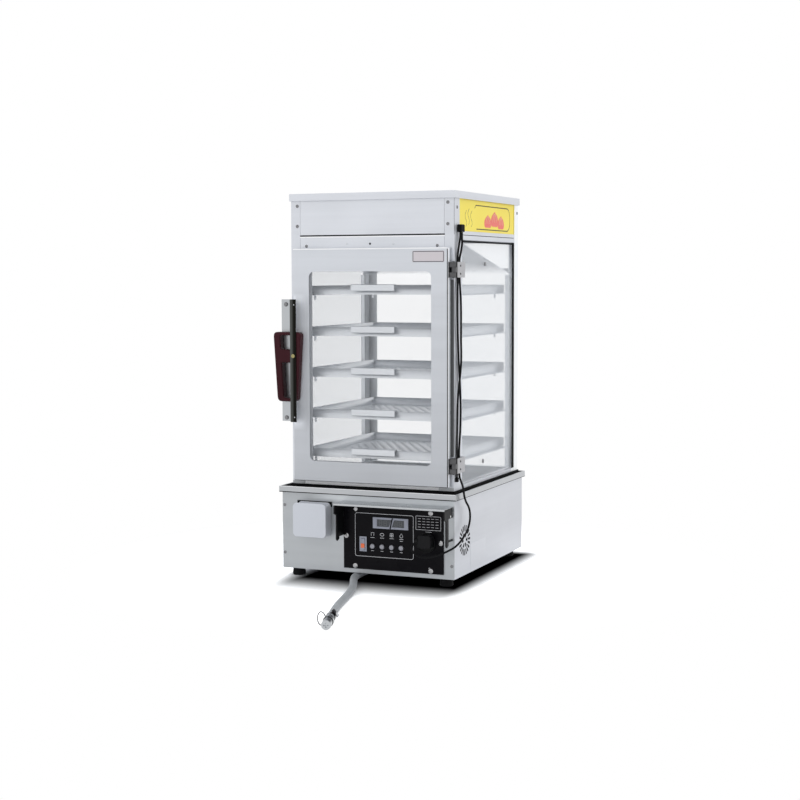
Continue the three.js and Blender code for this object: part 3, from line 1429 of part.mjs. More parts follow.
function makeHose() {
  const curve = hoseCurve();
  add('drain_hose', tube(curve, hose_radius, small_sides, hose_steps), hose_rubber);
  const end = curve.getPoint(1);
  const heading = curve.getTangent(1);
  const turn = Math.atan2(-heading.x, heading.y);
  const place = (geometry) => geometry.rotateZ(turn).translate(end.x, end.y, end.z);

  const groove_front = fitting_neck_length + fitting_collar_length;
  const groove_back = groove_front + fitting_groove_length;
  const mouth = groove_back + fitting_mouth_length;
  const body = turned([
    [fitting_bore, 0], [hose_radius, 0], [hose_radius, fitting_neck_length],
    [fitting_collar_radius, fitting_neck_length], [fitting_collar_radius, groove_front],
    [fitting_groove_radius, groove_front], [fitting_groove_radius, groove_back],
    [fitting_mouth_radius, groove_back], [fitting_mouth_radius, mouth], [fitting_bore, mouth],
    [fitting_bore, 0],
  ], round_sides);
  add('hose_fitting', place(body.translate(0, fit, 0)), polished);

  const inner = hose_radius + fit * 2;
  const outer = inner + clamp_thickness;
  const band = turned([
    [inner, 0], [outer, 0], [outer, clamp_width], [inner, clamp_width], [inner, 0],
  ], round_sides);
  const screw = turned([
    [0, 0], [clamp_screw_radius, 0], [clamp_screw_radius, clamp_screw_length], [0, clamp_screw_length],
  ], pin_sides).rotateZ(Math.PI / 2);
  screw.translate(clamp_screw_length / 2, clamp_width / 2, outer + clamp_screw_radius - fit * 2);
  const clamp = fuse(band, screw).rotateY(-clamp_turn);
  add('hose_clamp', place(clamp.translate(0, -clamp_setback - clamp_width, 0)), polished);
}

makeBaseShell();
makeBaseFront();
makeBaseRim();
makeFeet();
makeWaterPan();
makeHeatingElement();
makeWaterCup();
makeControlPanel();
makeDisplay();
makeButtons();
makeRockerSwitch();
makeSocket();
makePlug();
makeControlBoard();
makeFan();
makeHood();
makeCabinetFrame();
makeGlass();
for (let i = 0; i < tray_count; i += 1) {
  makeTray(i);
}
makeRack('rack_left', -1);
makeRack('rack_right', 1);
makeHeadFront();
makeHeadShell();
makeSign();
makeDripGuard();
makeLamp();
makeRoofCap();
makeDoorFrame();
makeDoorGlass();
makeDoorGasket();
makeDoorHandle();
makeHandleRail();
makeHinge('hinge_upper', hinge_upper_z);
makeHinge('hinge_lower', hinge_lower_z);
makeGlands();
makeLeads();
makeHose();

// The origin is the middle of the case's own footprint, cords left out
const handle_side = Math.hypot(handle_slant, handle_height);
const handle_rounding = handle_corner_radius * handle_slant / handle_side;
const footprint_left = handle_middle_x - handle_top_half + handle_rounding;
const footprint_right = base_right + rim_overhang;
const footprint_front = base_front_y - fit - hood_reach;
const footprint_back = base_back_y + rim_overhang;
display_case.position.set(
  -(footprint_left + footprint_right) / 2, -(footprint_front + footprint_back) / 2, 0,
);

export default display_case;
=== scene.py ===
# %% [markdown]
# # A heated display case
# The real object is a countertop steamer: a steel base with a water pan and a
# heating element, a glazed cabinet with five perforated trays, a door on two
# hinges and a steel head with a lit yellow sign.
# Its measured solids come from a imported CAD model. This file dresses them: it
# breaks their edges, adds the small parts, and gives each surface its finish.

import math

import bmesh
import bpy
from mathutils import Matrix, Vector


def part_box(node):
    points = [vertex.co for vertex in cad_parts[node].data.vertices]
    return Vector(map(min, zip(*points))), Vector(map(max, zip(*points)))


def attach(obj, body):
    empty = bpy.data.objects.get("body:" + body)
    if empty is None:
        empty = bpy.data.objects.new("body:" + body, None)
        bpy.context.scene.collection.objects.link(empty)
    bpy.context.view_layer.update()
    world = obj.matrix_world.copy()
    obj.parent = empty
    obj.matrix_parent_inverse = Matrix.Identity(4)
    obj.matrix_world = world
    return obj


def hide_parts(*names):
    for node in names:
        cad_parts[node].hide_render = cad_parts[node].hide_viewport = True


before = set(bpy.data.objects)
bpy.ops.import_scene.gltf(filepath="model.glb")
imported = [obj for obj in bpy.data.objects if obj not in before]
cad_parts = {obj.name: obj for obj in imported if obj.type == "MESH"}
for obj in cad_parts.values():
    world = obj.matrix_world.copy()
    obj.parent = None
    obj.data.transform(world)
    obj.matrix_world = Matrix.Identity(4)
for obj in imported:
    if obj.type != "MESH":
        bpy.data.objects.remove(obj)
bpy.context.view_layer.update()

# %% [markdown]
# ## Places in millimetres
# The case was measured from the middle of its base, in millimetres. The packed
# model is in metres, and its origin is the middle of the footprint, which the
# door handle and a loop of lead make a little larger than the base. One
# function turns a measured place into a place in the scene, so that every
# number below can be checked against a ruler. The faces that carry small parts
# are named once, by how far forward or to the side they lie.

# %% A place on the case
MM = 0.001
FOOTPRINT_SHIFT = Vector((4.15526, 20.475, 0.0))
BASE_FRONT, PANEL_FACE, CABINET_FRONT, CASE_BACK = -211, -213.25, -183, 211
DOOR_FACE, RAIL_FACE = -200, -222.75
BASE_SIDE, HEAD_SIDE, GLASS_SIDE, SIGN_FACE = 192, 181, 178.5, 179.25


def spot(x, y, z):
    """A place measured from the middle of the base in millimetres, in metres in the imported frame."""
    return (Vector((x, y, z)) + FOOTPRINT_SHIFT) * MM


print("front left corner of the base:", spot(-BASE_SIDE, BASE_FRONT, 17))

# %% [markdown]
# ## Camera
# The picture was taken with a long lens from a little above the middle of the
# case, 23 degrees round to the right of the front. A long lens keeps upright
# edges nearly parallel, so the camera stands more than three metres away.
# The turn is built from three plain rotations, first the roll about the lens,
# then the tilt, then the turn about the upright, which is easier to read than
# three mixed angles.

# %% Stand the camera
LOOK_ROUND, LOOK_DOWN, ROLL = (math.radians(turn) for turn in (22.950, 4.473, -0.165))


def add_object(name, data):
    """A new object with this data, in the scene."""
    new = bpy.data.objects.new(name, data)
    bpy.context.collection.objects.link(new)
    return new


camera = add_object("camera", bpy.data.cameras.new("camera"))
camera.data.lens = 71.351
camera.data.sensor_width = 36
camera.data.clip_end = 60
camera.location = (1.31986, -3.12070, 0.62450)
camera.rotation_euler = (
    Matrix.Rotation(LOOK_ROUND, 3, "Z")
    @ Matrix.Rotation(math.pi / 2 - LOOK_DOWN, 3, "X")
    @ Matrix.Rotation(ROLL, 3, "Z")
).to_euler()
bpy.context.scene.camera = camera
bpy.context.scene.view_settings.view_transform = "Standard"
print("camera at", camera.location[:])

# %% [markdown]
# ## Writing finishes as sums
# A finish is a small graph of shader nodes. Drawn by hand it is a web of
# boxes. Written as sums it is a line or two, so one class stands for the
# output of a node, and adding, taking away or multiplying two of them makes
# the Math node that does it.

# %% The output of a node
class Wire:
    """An output of a shader node, which can be used in a sum."""

    def __init__(self, tree, socket):
        self.tree = tree
        self.socket = socket

    def __add__(self, other):
        return self.tree.work_out("ADD", self, other)

    __radd__ = __add__

    def __rsub__(self, other):
        return self.tree.work_out("SUBTRACT", other, self)

    def __mul__(self, other):
        return self.tree.work_out("MULTIPLY", self, other)

    __rmul__ = __mul__


# %% [markdown]
# The floor, the room and every finish are trees of such nodes. One class adds
# a node to any of them: the settings go in first, such as a ramp's stops,
# because they can change which sockets a node has, and then its sockets are
# filled with numbers or wires.

# %% A tree of nodes
class NodeTree:
    """A tree of shader nodes, with one method that adds any node."""

    def __init__(self, tree):
        self.nodes = tree.nodes
        self.links = tree.links

    def plug_in(self, socket, value):
        if isinstance(value, Wire):
            self.links.new(value.socket, socket)
        else:
            socket.default_value = value

    def node(self, kind, settings=None, inputs=None, output=0):
        node = self.nodes.new("ShaderNode" + kind)
        for key, value in (settings or {}).items():
            if key == "stops":
                for stop, (place, shade) in zip(node.color_ramp.elements, value):
                    stop.position = place
                    stop.color = (shade, shade, shade, 1.0)
            else:
                setattr(node, key, value)
        for key, value in (inputs or {}).items():
            self.plug_in(node.inputs[key], value)
        return Wire(self, node.outputs[output])

    def work_out(self, operation, first, second):
        return self.node("Math", {"operation": operation}, {0: first, 1: second})

    def along(self, axis):
        """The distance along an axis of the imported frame, in metres."""
        place = self.node("TexCoord", output=3)
        return self.node("SeparateXYZ", {}, {0: place}, output="XYZ".index(axis))

    def stops(self, wire, low, high):
        """The wire, spread so that low gives 0 and high gives 1."""
        return self.node("ValToRGB", {"stops": [(low, 0.0), (high, 1.0)]}, {"Fac": wire})

    def past(self, axis, start, end):
        """0 before the first place along an axis and 1 past the second, both in millimetres."""
        low, high = (spot(place, place, place)["XYZ".index(axis)] for place in (start, end))
        return self.node("MapRange", {}, {"Value": self.along(axis), "From Min": low, "From Max": high})

    def ray(self, kind):
        """1 for a ray of this kind, and 0 for any other."""
        return self.node("LightPath", output=f"Is {kind} Ray")

    def seen(self):
        """1 for a ray from the camera, a mirror or a pane, and 0 for one that brings light."""
        direct = self.work_out("MAXIMUM", self.ray("Camera"), self.ray("Glossy"))
        return self.work_out("MAXIMUM", direct, self.ray("Transmission"))

    def mixed(self, mask, first, second):
        """One shader where the mask is 0 and another where it is 1."""
        return self.node("MixShader", {}, {0: mask, 1: first, 2: second})


# %% [markdown]
# A finish is such a tree with a Principled shader in it. Numbers that are the
# same all over go straight onto the shader's own sockets. What changes over
# the surface comes in as a wire. No real surface shines evenly, so the
# roughness may be given as three numbers: its lowest value, how much noise
# adds to it, and how fine the noise is.

# %% A material in the making
class Finish(NodeTree):
    """A material, its Principled shader, and the record's slot that it belongs to."""

    def __init__(self, name, slot, colour, roughness, metallic=0.0, **fixed):
        self.material = bpy.data.materials.new(name)
        self.material.use_nodes = True
        self.slot = slot
        super().__init__(self.material.node_tree)
        self.shader = self.nodes["Principled BSDF"]
        self.set("Base Color", (*colour, 1.0))
        self.set("Metallic", metallic)
        for socket, value in fixed.items():
            self.set(socket.replace("_", " ").title().replace("Ior", "IOR"), value)
        if isinstance(roughness, tuple):
            lowest, more, scale = roughness
            roughness = lowest + more * self.mottle(scale)
        self.set("Roughness", roughness)

    def set(self, socket, value):
        self.plug_in(self.shader.inputs[socket], value)

    def mottle(self, scale, stretch=(1, 1, 1), detail=3.0):
        """Noise fixed to the object, from 0 to 1, drawn out along the axes with the small numbers."""
        place = self.node("TexCoord", output=3)
        drawn_out = self.node("Mapping", {}, {"Vector": place, "Scale": stretch})
        return self.node("TexNoise", {}, {"Vector": drawn_out, "Scale": scale, "Detail": detail})

    def patches(self, scale, low, high, **kind):
        """Noise with more contrast: 0 below the low level and 1 above the high one."""
        return self.stops(self.mottle(scale, **kind), low, high)

    def shade(self, mask, colour, other, blend="MIX"):
        """One colour where the mask is 0 and another where it is 1. A colour may be a wire."""
        first, second = (c if isinstance(c, Wire) else (*c, 1.0) for c in (colour, other))
        settings = {"data_type": "RGBA", "blend_type": blend}
        return self.node("Mix", settings, {0: mask, 6: first, 7: second}, output=2)

    def paint(self, mask, colour, other):
        self.set("Base Color", self.shade(mask, colour, other))

    def tone(self, mask, factor):
        """Makes the colour so many times as bright where the mask is 1."""
        colour = Wire(self, self.shader.inputs["Base Color"].links[0].from_socket)
        self.set("Base Color", self.shade(mask, colour, (factor, factor, factor), "MULTIPLY"))

    def relief(self, height, strength, depth):
        """Fine relief, whose depth is in millimetres. Its height is a wire, or how fine its noise is."""
        if not isinstance(height, Wire):
            height = self.mottle(height, detail=2.0)
        inputs = {"Height": height, "Strength": strength, "Distance": depth * MM}
        self.set("Normal", self.node("Bump", {}, inputs))


print("finishes can be written as sums")

# %% [markdown]
# ## Black flex and grey hose
# The two lamp leads are thin black flex with a satin skin, and the drain hose
# is grey rubber that has gone a little chalky. Both are plain colours with
# life in them: the noise changes how much they shine, and very little else.

# %% Finishes of the cords
flex = Finish("lead_flex", "black_rubber", (0.006, 0.006, 0.007), (0.42, 0.16, 90), specular_ior_level=0.08)
flex.relief(900, 0.25, 0.05)
hose_skin = Finish("hose_rubber", "hose_rubber", (0.38, 0.395, 0.415), 0.5)
chalk = hose_skin.patches(26, 0.35, 0.75)
hose_skin.paint(chalk, (0.335, 0.35, 0.365), (0.43, 0.445, 0.465))
hose_skin.set("Roughness", 0.46 + 0.14 * chalk)
hose_skin.relief(420, 0.3, 0.08)
print("finishes of the cords:", flex.material.name, hose_skin.material.name)

# %% [markdown]
# ## The line of a cord
# A cord is a fixed length of something flexible. Its route is given as points a few centimetres apart, and
# a smooth line has to pass through every one of them. A chain of cubic curves does that, and one that
# spaces its knots by the root of the distance never loops or overshoots where the points are uneven.

# %% Draw a smooth line through points
def smooth_line(points, steps=6):
    """Points close together on the smooth line through the given ones."""
    ends = [2 * points[0] - points[1], *points, 2 * points[-1] - points[-2]]
    line = []
    for before, start, end, after in zip(ends, ends[1:], ends[2:], ends[3:]):
        gap0, gap1, gap2 = (
            (b - a).length ** 0.5 for a, b in ((before, start), (start, end), (end, after))
        )
        leave = (start - before) / gap0 - (end - before) / (gap0 + gap1) + (end - start) / gap1
        arrive = (end - start) / gap1 - (after - start) / (gap1 + gap2) + (after - end) / gap2
        leave, arrive = leave * gap1, arrive * gap1
        bend = -3 * start + 3 * end - 2 * leave - arrive
        twist = 2 * start - 2 * end + leave + arrive
        for step in range(steps):
            t = step / steps
            line.append(start + leave * t + bend * t * t + twist * t ** 3)
    return [*line, points[-1]]


def length_of(line):
    return sum((b - a).length for a, b in zip(line, line[1:]))


# %% [markdown]
# A curve object with a round bevel is a cord already: Blender sweeps the
# circle along it. The same curve draws the thin lines of print and, filled
# instead of swept, the flat plates further down.

# %% Curves, and a round section swept along them
def curve_of(name, lines, **settings):
    """A curve object of straight stretches. Each line is its points and whether it closes on itself."""
    curve = bpy.data.curves.new(name, "CURVE")
    for setting, value in settings.items():
        setattr(curve, setting, value)
    for points, closed in lines:
        spline = curve.splines.new("POLY")
        spline.points.add(len(points) - 1)
        for point, place in zip(spline.points, points):
            point.co = (*place, 1.0)
        spline.use_cyclic_u = closed
    return add_object(name, curve)


def swept(name, lines, radius, sides=4):
    return curve_of(
        name, lines, dimensions="3D", bevel_depth=radius, bevel_resolution=sides, use_fill_caps=True,
    )


def adopt(piece, finish, body="case"):
    """Gives a piece its finish and hangs it on its body."""
    piece.data.name = piece.name
    piece.data.materials.clear()
    piece.data.materials.append(finish.material)
    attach(piece, body)
    return piece


def lay_cord(name, node, finish, points, radius, sides=4):
    """A cord along measured points, which stands in for its CAD node, and the line that it follows."""
    line = smooth_line([spot(*point) for point in points])
    cord = adopt(swept(name, [(line, False)], radius, sides), finish)
    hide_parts(node)
    print(name, round(length_of(line), 4), "m")
    return cord, line


def declare_cord(cord, line, radius, **facts):
    length_of(line)


# %% [markdown]
# ## Two lamp leads
# Both leads leave one gland under the sign. The first hangs down the post,
# passes behind both hinge leaves, swings out over the base and turns forward
# to the plug on the control panel. The second goes straight down behind the
# hinges into a grommet at the foot of the post. Their whole run can be seen,
# so their length is what the picture shows.

# %% The lead to the plug
LEAD_RADIUS = 2.1 * MM
lamp_lead, lamp_lead_line = lay_cord("lamp_lead_flex", "lamp_lead", flex, [
    (186, -161.5, 711.7), (186, -161.7, 702), (185.4, -167, 686), (183.8, -170.5, 666),
    (183.5, -168.5, 645), (183.5, -167.5, 626), (184, -172.5, 600), (184.4, -175, 566),
    (184.4, -173.5, 526), (184, -168.5, 484), (183.5, -164, 450), (184.2, -158.8, 404),
    (184.4, -155.5, 354), (184.3, -158, 312), (183.6, -162, 276), (183.5, -162.4, 254),
    (183.5, -162, 233), (185, -163, 219), (190, -167.5, 210.5), (196.5, -177, 204),
    (202.3, -186.5, 196.5), (204.8, -188.5, 184), (205, -178, 170.5), (204.8, -164.5, 160),
    (204.4, -155.5, 147.5), (204.3, -154.5, 133.5), (204.8, -162, 121.5), (205.8, -175, 112.5),
    (206.5, -191, 105.5), (206.5, -207, 99), (204.5, -221.5, 92.5), (199, -234, 86),
    (188, -242.5, 79.5), (170, -246, 71.5), (148, -246, 65.8), (129, -243.8, 66.3),
    (115.5, -240.5, 72.5), (110.3, -237.5, 81), (112.34, -234.72, 87.74), (116.57, -233.55, 91.83),
], LEAD_RADIUS)

# %% The lead into the post
second_lead, second_lead_line = lay_cord("second_lead_flex", "second_lead", flex, [
    (186, -152.5, 711.7), (186, -152.3, 702), (185.8, -151.5, 688), (184.8, -154.5, 673),
    (183.6, -159.5, 659), (183.5, -161, 644), (183.5, -160.5, 627), (183.8, -158.3, 607),
    (184.4, -155.2, 580), (184.6, -153.8, 550), (184.8, -154.5, 520), (186, -157.5, 492),
    (187.8, -161, 468), (188.6, -164.5, 446), (187.8, -168, 422), (185.8, -171.5, 394),
    (184.6, -174.2, 362), (184.4, -175.4, 330), (184, -175.2, 300), (183.6, -174.2, 274),
    (183.75, -173.9, 254), (183.75, -174.4, 236), (183.75, -174.5, 219.3),
], LEAD_RADIUS)
declare_cord(
    second_lead, second_lead_line, LEAD_RADIUS, far_end="object", stiffness="medium", lay="hanging",
)

# %% [markdown]
# ## Drain hose
# A short hose is pushed on the pan's drain under the base and lies on the
# counter, where it runs forward, bends a little to the right and ends in a
# quick coupling held by a band clamp. It is stiff, so its bends are wide.

# %% The hose on the counter
HOSE_RADIUS = 7.75 * MM
HOSE_AXIS = 8.3
hose, hose_line = lay_cord("drain_hose_tube", "drain_hose", hose_skin, [
    (x, y, HOSE_AXIS + rise) for x, y, rise in (
        (-32, -138.25, 0), (-32, -150, 0), (-32, -165, 0), (-30.5, -184, 0), (-27.5, -204, 0),
        (-22.5, -224, 0), (-14.5, -244, 0), (-4, -268, 0), (8, -296, 0), (19.5, -326, 0),
        (30, -358, 0), (39.5, -392, 0), (49, -430, 0), (59, -470, 0.1), (70, -508, 0.5),
        (82, -544, 1.2), (93.5, -578, 1.6), (100, -597.5, 1.6),
    )
], HOSE_RADIUS, sides=10)

# %% [markdown]
# ## Floor
# The case stands on an open white floor. Light that bounces off the floor on to the case meets a plain pale
# surface. The camera sees the same floor much whiter, so that it clips to open white, and further out it
# melts into the white of the room. Right under the case no light gets in, which shows as a black patch with
# a soft rim that reaches further out at the front than at the sides. That shadow is painted into the floor
# that the camera sees, over its real shadow: how far a point lies outside the footprint, measured against
# the reach of the rim on that side, darkens the floor there.

# %% A white floor with a painted shadow
bpy.ops.mesh.primitive_plane_add(size=14, location=(0, 0, 0))
floor = bpy.context.object
floor.name = "floor"
floor_paint = bpy.data.materials.new("floor_paint")
floor_paint.use_nodes = True
ground = NodeTree(floor_paint.node_tree)
ground.nodes.remove(ground.nodes["Principled BSDF"])
plain, clipped, unlit = (
    ground.node("BsdfDiffuse", {}, {"Color": (*tone, 1)})
    for tone in ((0.80, 0.80, 0.81), (2.3, 2.3, 2.3), (0, 0, 0))
)
open_white = ground.node("Emission", {}, {"Strength": 1.0})
outside = 0.0
for axis, edge, reach in (
    ("X", -140, -60), ("X", BASE_SIDE, 54), ("Y", BASE_FRONT, -170), ("Y", CASE_BACK, 54),
):
    edge_at = spot(edge, edge, 0)["XY".index(axis)]
    beyond = ground.work_out("MAXIMUM", (ground.along(axis) + -edge_at) * (1 / (reach * MM)), 0.0)
    outside = beyond * beyond + outside
# painted shadow round the footprint, in the floor as the camera sees it
rim = ground.work_out("POWER", ground.work_out("MINIMUM", outside, 1.0), 0.75)
near = ground.mixed(ground.ray("Camera"), plain, ground.mixed(rim, unlit, clipped))
middle = ground.node("TexCoord", output=3)
distance = ground.node("VectorMath", {"operation": "LENGTH"}, {0: middle}, output="Value")
mirrored = ground.ray("Glossy") * ground.stops(distance, 0.18, 0.4)
far = ground.work_out("MAXIMUM", ground.seen() * ground.stops(distance, 0.36, 0.7), mirrored)
ground.plug_in(ground.nodes["Material Output"].inputs["Surface"], ground.mixed(far, near, open_white))
floor.data.materials.append(floor_paint)
print("floor:", floor.dimensions[:])

# %% [markdown]
# ## Light
# The room is white to the camera and in reflections, and a little dimmer as a
# light, because three soft lamps do the rest. All of it together lights a
# sheet of white paper about to white and no further, so each colour below
# renders about as it is written.

# %% The room around
room = bpy.data.worlds.new("room")
room.use_nodes = True
bpy.context.scene.world = room
air = NodeTree(room.node_tree)
as_light = air.node("Background", {}, {"Color": (0.96, 0.98, 1.0, 1), "Strength": 0.86})
as_seen = air.node("Background", {}, {"Color": (1, 1, 1, 1), "Strength": 1.0})
air.plug_in(air.nodes["World Output"].inputs["Surface"], air.mixed(air.seen(), as_light, as_seen))
print("room made")


# %% [markdown]
# Three of the lamps stand round the case. The fourth hangs under the head,
# where the real case has its own lamp, and brightens the trays.

# %% Four soft lamps
def soft_lamp(name, place, width, height, watts):
    """A wide lamp that faces the middle of the case and can't be seen itself."""
    lamp = add_object(name, bpy.data.lights.new(name, "AREA"))
    lamp.data.shape = "RECTANGLE"
    lamp.data.size = width
    lamp.data.size_y = height
    lamp.data.energy = watts
    lamp.location = place
    aim = Vector((0, 0, 0.4)) - Vector(place)
    lamp.rotation_euler = aim.to_track_quat("-Z", "Y").to_euler()
    lamp.visible_camera = False
    lamp.visible_glossy = False


soft_lamp("lamp_over_left", (-1.9, -1.8, 2.5), 1.8, 1.4, 11)
soft_lamp("lamp_right", (2.6, 0.2, 1.4), 1.6, 1.6, 6)
soft_lamp("lamp_above", (0.2, 0.3, 2.6), 1.6, 1.6, 8)
soft_lamp("lamp_inside", spot(0, 14, 703), 0.28, 0.30, 0.7)

# %% [markdown]
# ## Sheet steel
# The case is folded stainless sheet with a fine horizontal grain. Close up the grain is a bundle of hair
# lines a few tenths of a millimetre apart. From where the camera stands it only softens the reflections. So
# the finish has three layers: hair lines in the relief and the roughness, slow clouds where hands and
# cloths have dulled it, and a faint change of tone. The head, the door, the base and the drip guard are not
# one tone: each sheet's colour paints in the light and shade that it gets where it stands, and the drip
# guard, in the shade under the head, is painted lightest.

# %% Steel finishes
HAIR_LINES = {"stretch": (9, 9, 2600), "detail": 2.0}


def steel_finish(name, colour, roughness=0.42, grain=0.14, metallic=0.75, slot="brushed_steel"):
    """Stainless sheet with a horizontal grain, which a stretched noise draws."""
    steel = Finish(name, slot, colour, roughness, metallic)
    hair = steel.mottle(1.0, **HAIR_LINES)
    cloud = steel.patches(7, 0.3, 0.75, detail=4.0)
    streak = steel.patches(1.0, 0.3, 0.7, stretch=(2, 2, 60), detail=4.0)
    dulled = steel.shade(cloud, colour, tuple(0.93 * part for part in colour))
    steel.paint(0.6 * streak, dulled, tuple(min(1.0, 1.06 * part) for part in colour))
    steel.set("Roughness", roughness - grain / 2 + grain * hair + 0.07 * cloud)
    steel.relief(hair, 0.12, 0.04)
    return steel


# each sheet's colour paints in the light and shade that it gets where it stands
head_steel = steel_finish("head_steel", (0.73, 0.75, 0.795))
cabinet_steel = steel_finish("cabinet_steel", (0.70, 0.72, 0.765))
door_steel = steel_finish("door_steel", (0.56, 0.575, 0.605), 0.50, metallic=0.3)
front_steel = steel_finish("front_steel", (0.475, 0.495, 0.515), metallic=0.8)
side_steel = steel_finish("side_steel", (0.66, 0.675, 0.715))
rim_steel = steel_finish("rim_steel", (0.49, 0.505, 0.525), 0.28, 0.10, 1.0, "polished_steel")
bright_steel = steel_finish("bright_steel", (0.52, 0.54, 0.56), 0.24, 0.10, 1.0, "polished_steel")
tray_steel = steel_finish("tray_steel", (0.77, 0.79, 0.82), 0.36, 0.10)
runner_steel = steel_finish("runner_steel", (0.68, 0.70, 0.735), 0.38, 0.10)
# painted light: the drip guard lies in shade under the head, so its colour is made much lighter
guard_steel = steel_finish("guard_steel", (0.95, 0.96, 0.98), 0.25, 0.10, 1.0)
corner_steel = steel_finish("corner_steel", (0.46, 0.475, 0.49), 0.42, 0.10)
print("steels made:", len([m for m in bpy.data.materials if "steel" in m.name]))

# %% [markdown]
# The big sheets mirror what stands round them, and that shows as slow changes of tone, which are painted
# into their colour as light and shade: the rear posts, the middle of the door, the stile beside the
# handle's rail, the right end of the base and a band of its front above the ledge are painted lighter. A
# mask between two places along an axis brightens each one. Behind the punched vent no light gets in, so the
# walls of the slots are painted almost black as shade.

# %% Painted light and shade on the big sheets
VENT_Y, VENT_Z, VENT_RADIUS = -152, 88.7, 33
cabinet_steel.tone(cabinet_steel.past("Y", 166, 172), 1.4)
door_steel.tone(door_steel.past("Z", 230, 620), 1.25)
rail_height = door_steel.past("Z", 305, 320) * (1 - door_steel.past("Z", 575, 590))
door_steel.tone((1 - door_steel.past("X", -153, -139)) * rail_height, 1.45)
front_steel.tone(front_steel.past("Z", 160, 168) * front_steel.past("X", -130, -90), 1.4)
vent_middle = spot(0, VENT_Y, VENT_Z)
vent_u = (side_steel.along("Y") + -vent_middle.y) * (1 / (VENT_RADIUS * MM))
vent_v = (side_steel.along("Z") + -vent_middle.z) * (1 / (VENT_RADIUS * MM))
by_vent = 1 - side_steel.work_out("GREATER_THAN", vent_u * vent_u + vent_v * vent_v, 1.0)
# painted shade: the walls of the vent's slots are made almost black
slot_wall_shade = side_steel.past("X", 150, 160) * (1 - side_steel.past("X", 191.3, 191.9))
side_steel.tone(by_vent * slot_wall_shade, 0.03)
side_steel.tone(1 - side_steel.past("Z", 15, 90), 1.15)
print("sheets toned")

# %% [markdown]
# Screws, washers and clamps are small and plated, and at their size only the
# brightness of the plating shows: dull steel, zinc or chrome.

# %% Plated finishes
screw_steel = Finish("screw_steel", "polished_steel", (0.24, 0.24, 0.25), (0.16, 0.14, 300), 1.0)
zinc = Finish("zinc_plate", "polished_steel", (0.42, 0.42, 0.43), (0.14, 0.14, 200), 1.0)
chrome = Finish("chrome_plate", "polished_steel", (0.72, 0.72, 0.73), (0.10, 0.12, 160), 1.0)
brass = Finish("brass_screw", "polished_steel", (0.36, 0.32, 0.15), (0.18, 0.15, 300), 1.0)
print("plated finishes made")

# %% [markdown]
# ## From solid to made part
# A CAD solid has knife edges, and no real part does. A folded sheet has a bend
# radius, a cut one is deburred, a moulding has a draft. The solid arrives as
# loose triangles, so a copy is merged, its flat faces are joined up again, and
# a bevel breaks every edge that turns by more than a chosen angle. The
# bevel's own normals keep the flat faces looking flat.

# %% Copy a solid and break its edges
WELD = 0.000001


def choose(*pieces):
    """Selects these pieces alone and makes the first one active."""
    bpy.ops.object.select_all(action="DESELECT")
    for piece in pieces:
        piece.select_set(True)
    bpy.context.view_layer.objects.active = pieces[0]


def apply_modifier(piece, kind, **settings):
    """Adds a modifier to a piece, sets it up and applies it at once."""
    modifier = piece.modifiers.new(kind.lower(), kind)
    for setting, value in settings.items():
        setattr(modifier, setting, value)
    choose(piece)
    bpy.ops.object.modifier_apply(modifier=modifier.name)


def break_edges(piece, width, steps=2, turn=35):
    """Bevels the edges that turn by more than an angle, in millimetres, and shades the piece smooth."""
    choose(piece)
    bpy.ops.object.shade_smooth()
    apply_modifier(
        piece, "BEVEL", width=width * MM, segments=steps, limit_method="ANGLE",
        angle_limit=math.radians(turn), use_clamp_overlap=False, harden_normals=True,
    )


def join_flat_faces():
    """Merges what lies in one place and makes one face of flat neighbours, in edit mode."""
    bpy.ops.mesh.remove_doubles(threshold=WELD)
    bpy.ops.mesh.dissolve_limited(angle_limit=math.radians(0.5))


def made_part(node, finish, body="case", edge=0.4, steps=2):
    """A copy of a CAD node with its edges broken and its real finish, which stands in for the node."""
    part = add_object(node + "_part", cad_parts[node].data.copy())
    choose(part)
    bpy.ops.object.mode_set(mode="EDIT")
    bpy.ops.mesh.select_all(action="SELECT")
    bpy.ops.mesh.customdata_custom_splitnormals_clear()
    join_flat_faces()
    bpy.ops.object.mode_set(mode="OBJECT")
    break_edges(part, edge, steps)
    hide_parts(node)
    return adopt(part, finish, body)


# %% [markdown]
# ## Base, cabinet and head
# All of these are the same sheet, 1.5 mm thick, with folds that are broken by
# about a third of that. The rim, the roof cap and the ledge over the controls
# catch more light, because they were left brighter.

# %% Steel parts that do not move
for name, finish in (
    ("base_shell", side_steel), ("base_front", front_steel), ("cabinet_frame", cabinet_steel),
    ("head_front", head_steel), ("head_shell", head_steel), ("water_pan", tray_steel),
    ("drip_guard", guard_steel), ("rack_left", runner_steel), ("rack_right", runner_steel),
):
    made_part(name, finish)
made_part("roof_cap", head_steel, edge=0.5)
made_part("base_rim", rim_steel, edge=0.5)
made_part("panel_hood", bright_steel, edge=0.5)
made_part("door_frame", door_steel, "door", edge=0.5)
print("steel parts made")

# %% [markdown]
# ## Hinges
# Each hinge is two plated leaves rolled round a pin. The black shadow round the knuckles is painted in: a
# mask on the distance from the pin, along the depth of the case, darkens them to almost black where they
# are, with a little random mottle.

# %% Plated hinges
hinge_plate = Finish("plated_hinge", "polished_steel", (0.46, 0.46, 0.47), (0.26, 0.16, 90), 1.0)
knuckle = 1 - hinge_plate.past("Y", -181, -179)
# painted shade over the knuckles, with a little random mottle
knuckle_shade_and_mottle = 0.75 * knuckle + 0.2 * hinge_plate.mottle(120)
hinge_plate.paint(knuckle_shade_and_mottle, (0.48, 0.48, 0.50), (0.04, 0.04, 0.042))
for name in ("hinge_upper", "hinge_lower"):
    made_part(name + "_cabinet_leaf", hinge_plate, edge=0.2)
    made_part(name + "_door_leaf", hinge_plate, "door", edge=0.2)
print("hinges made")

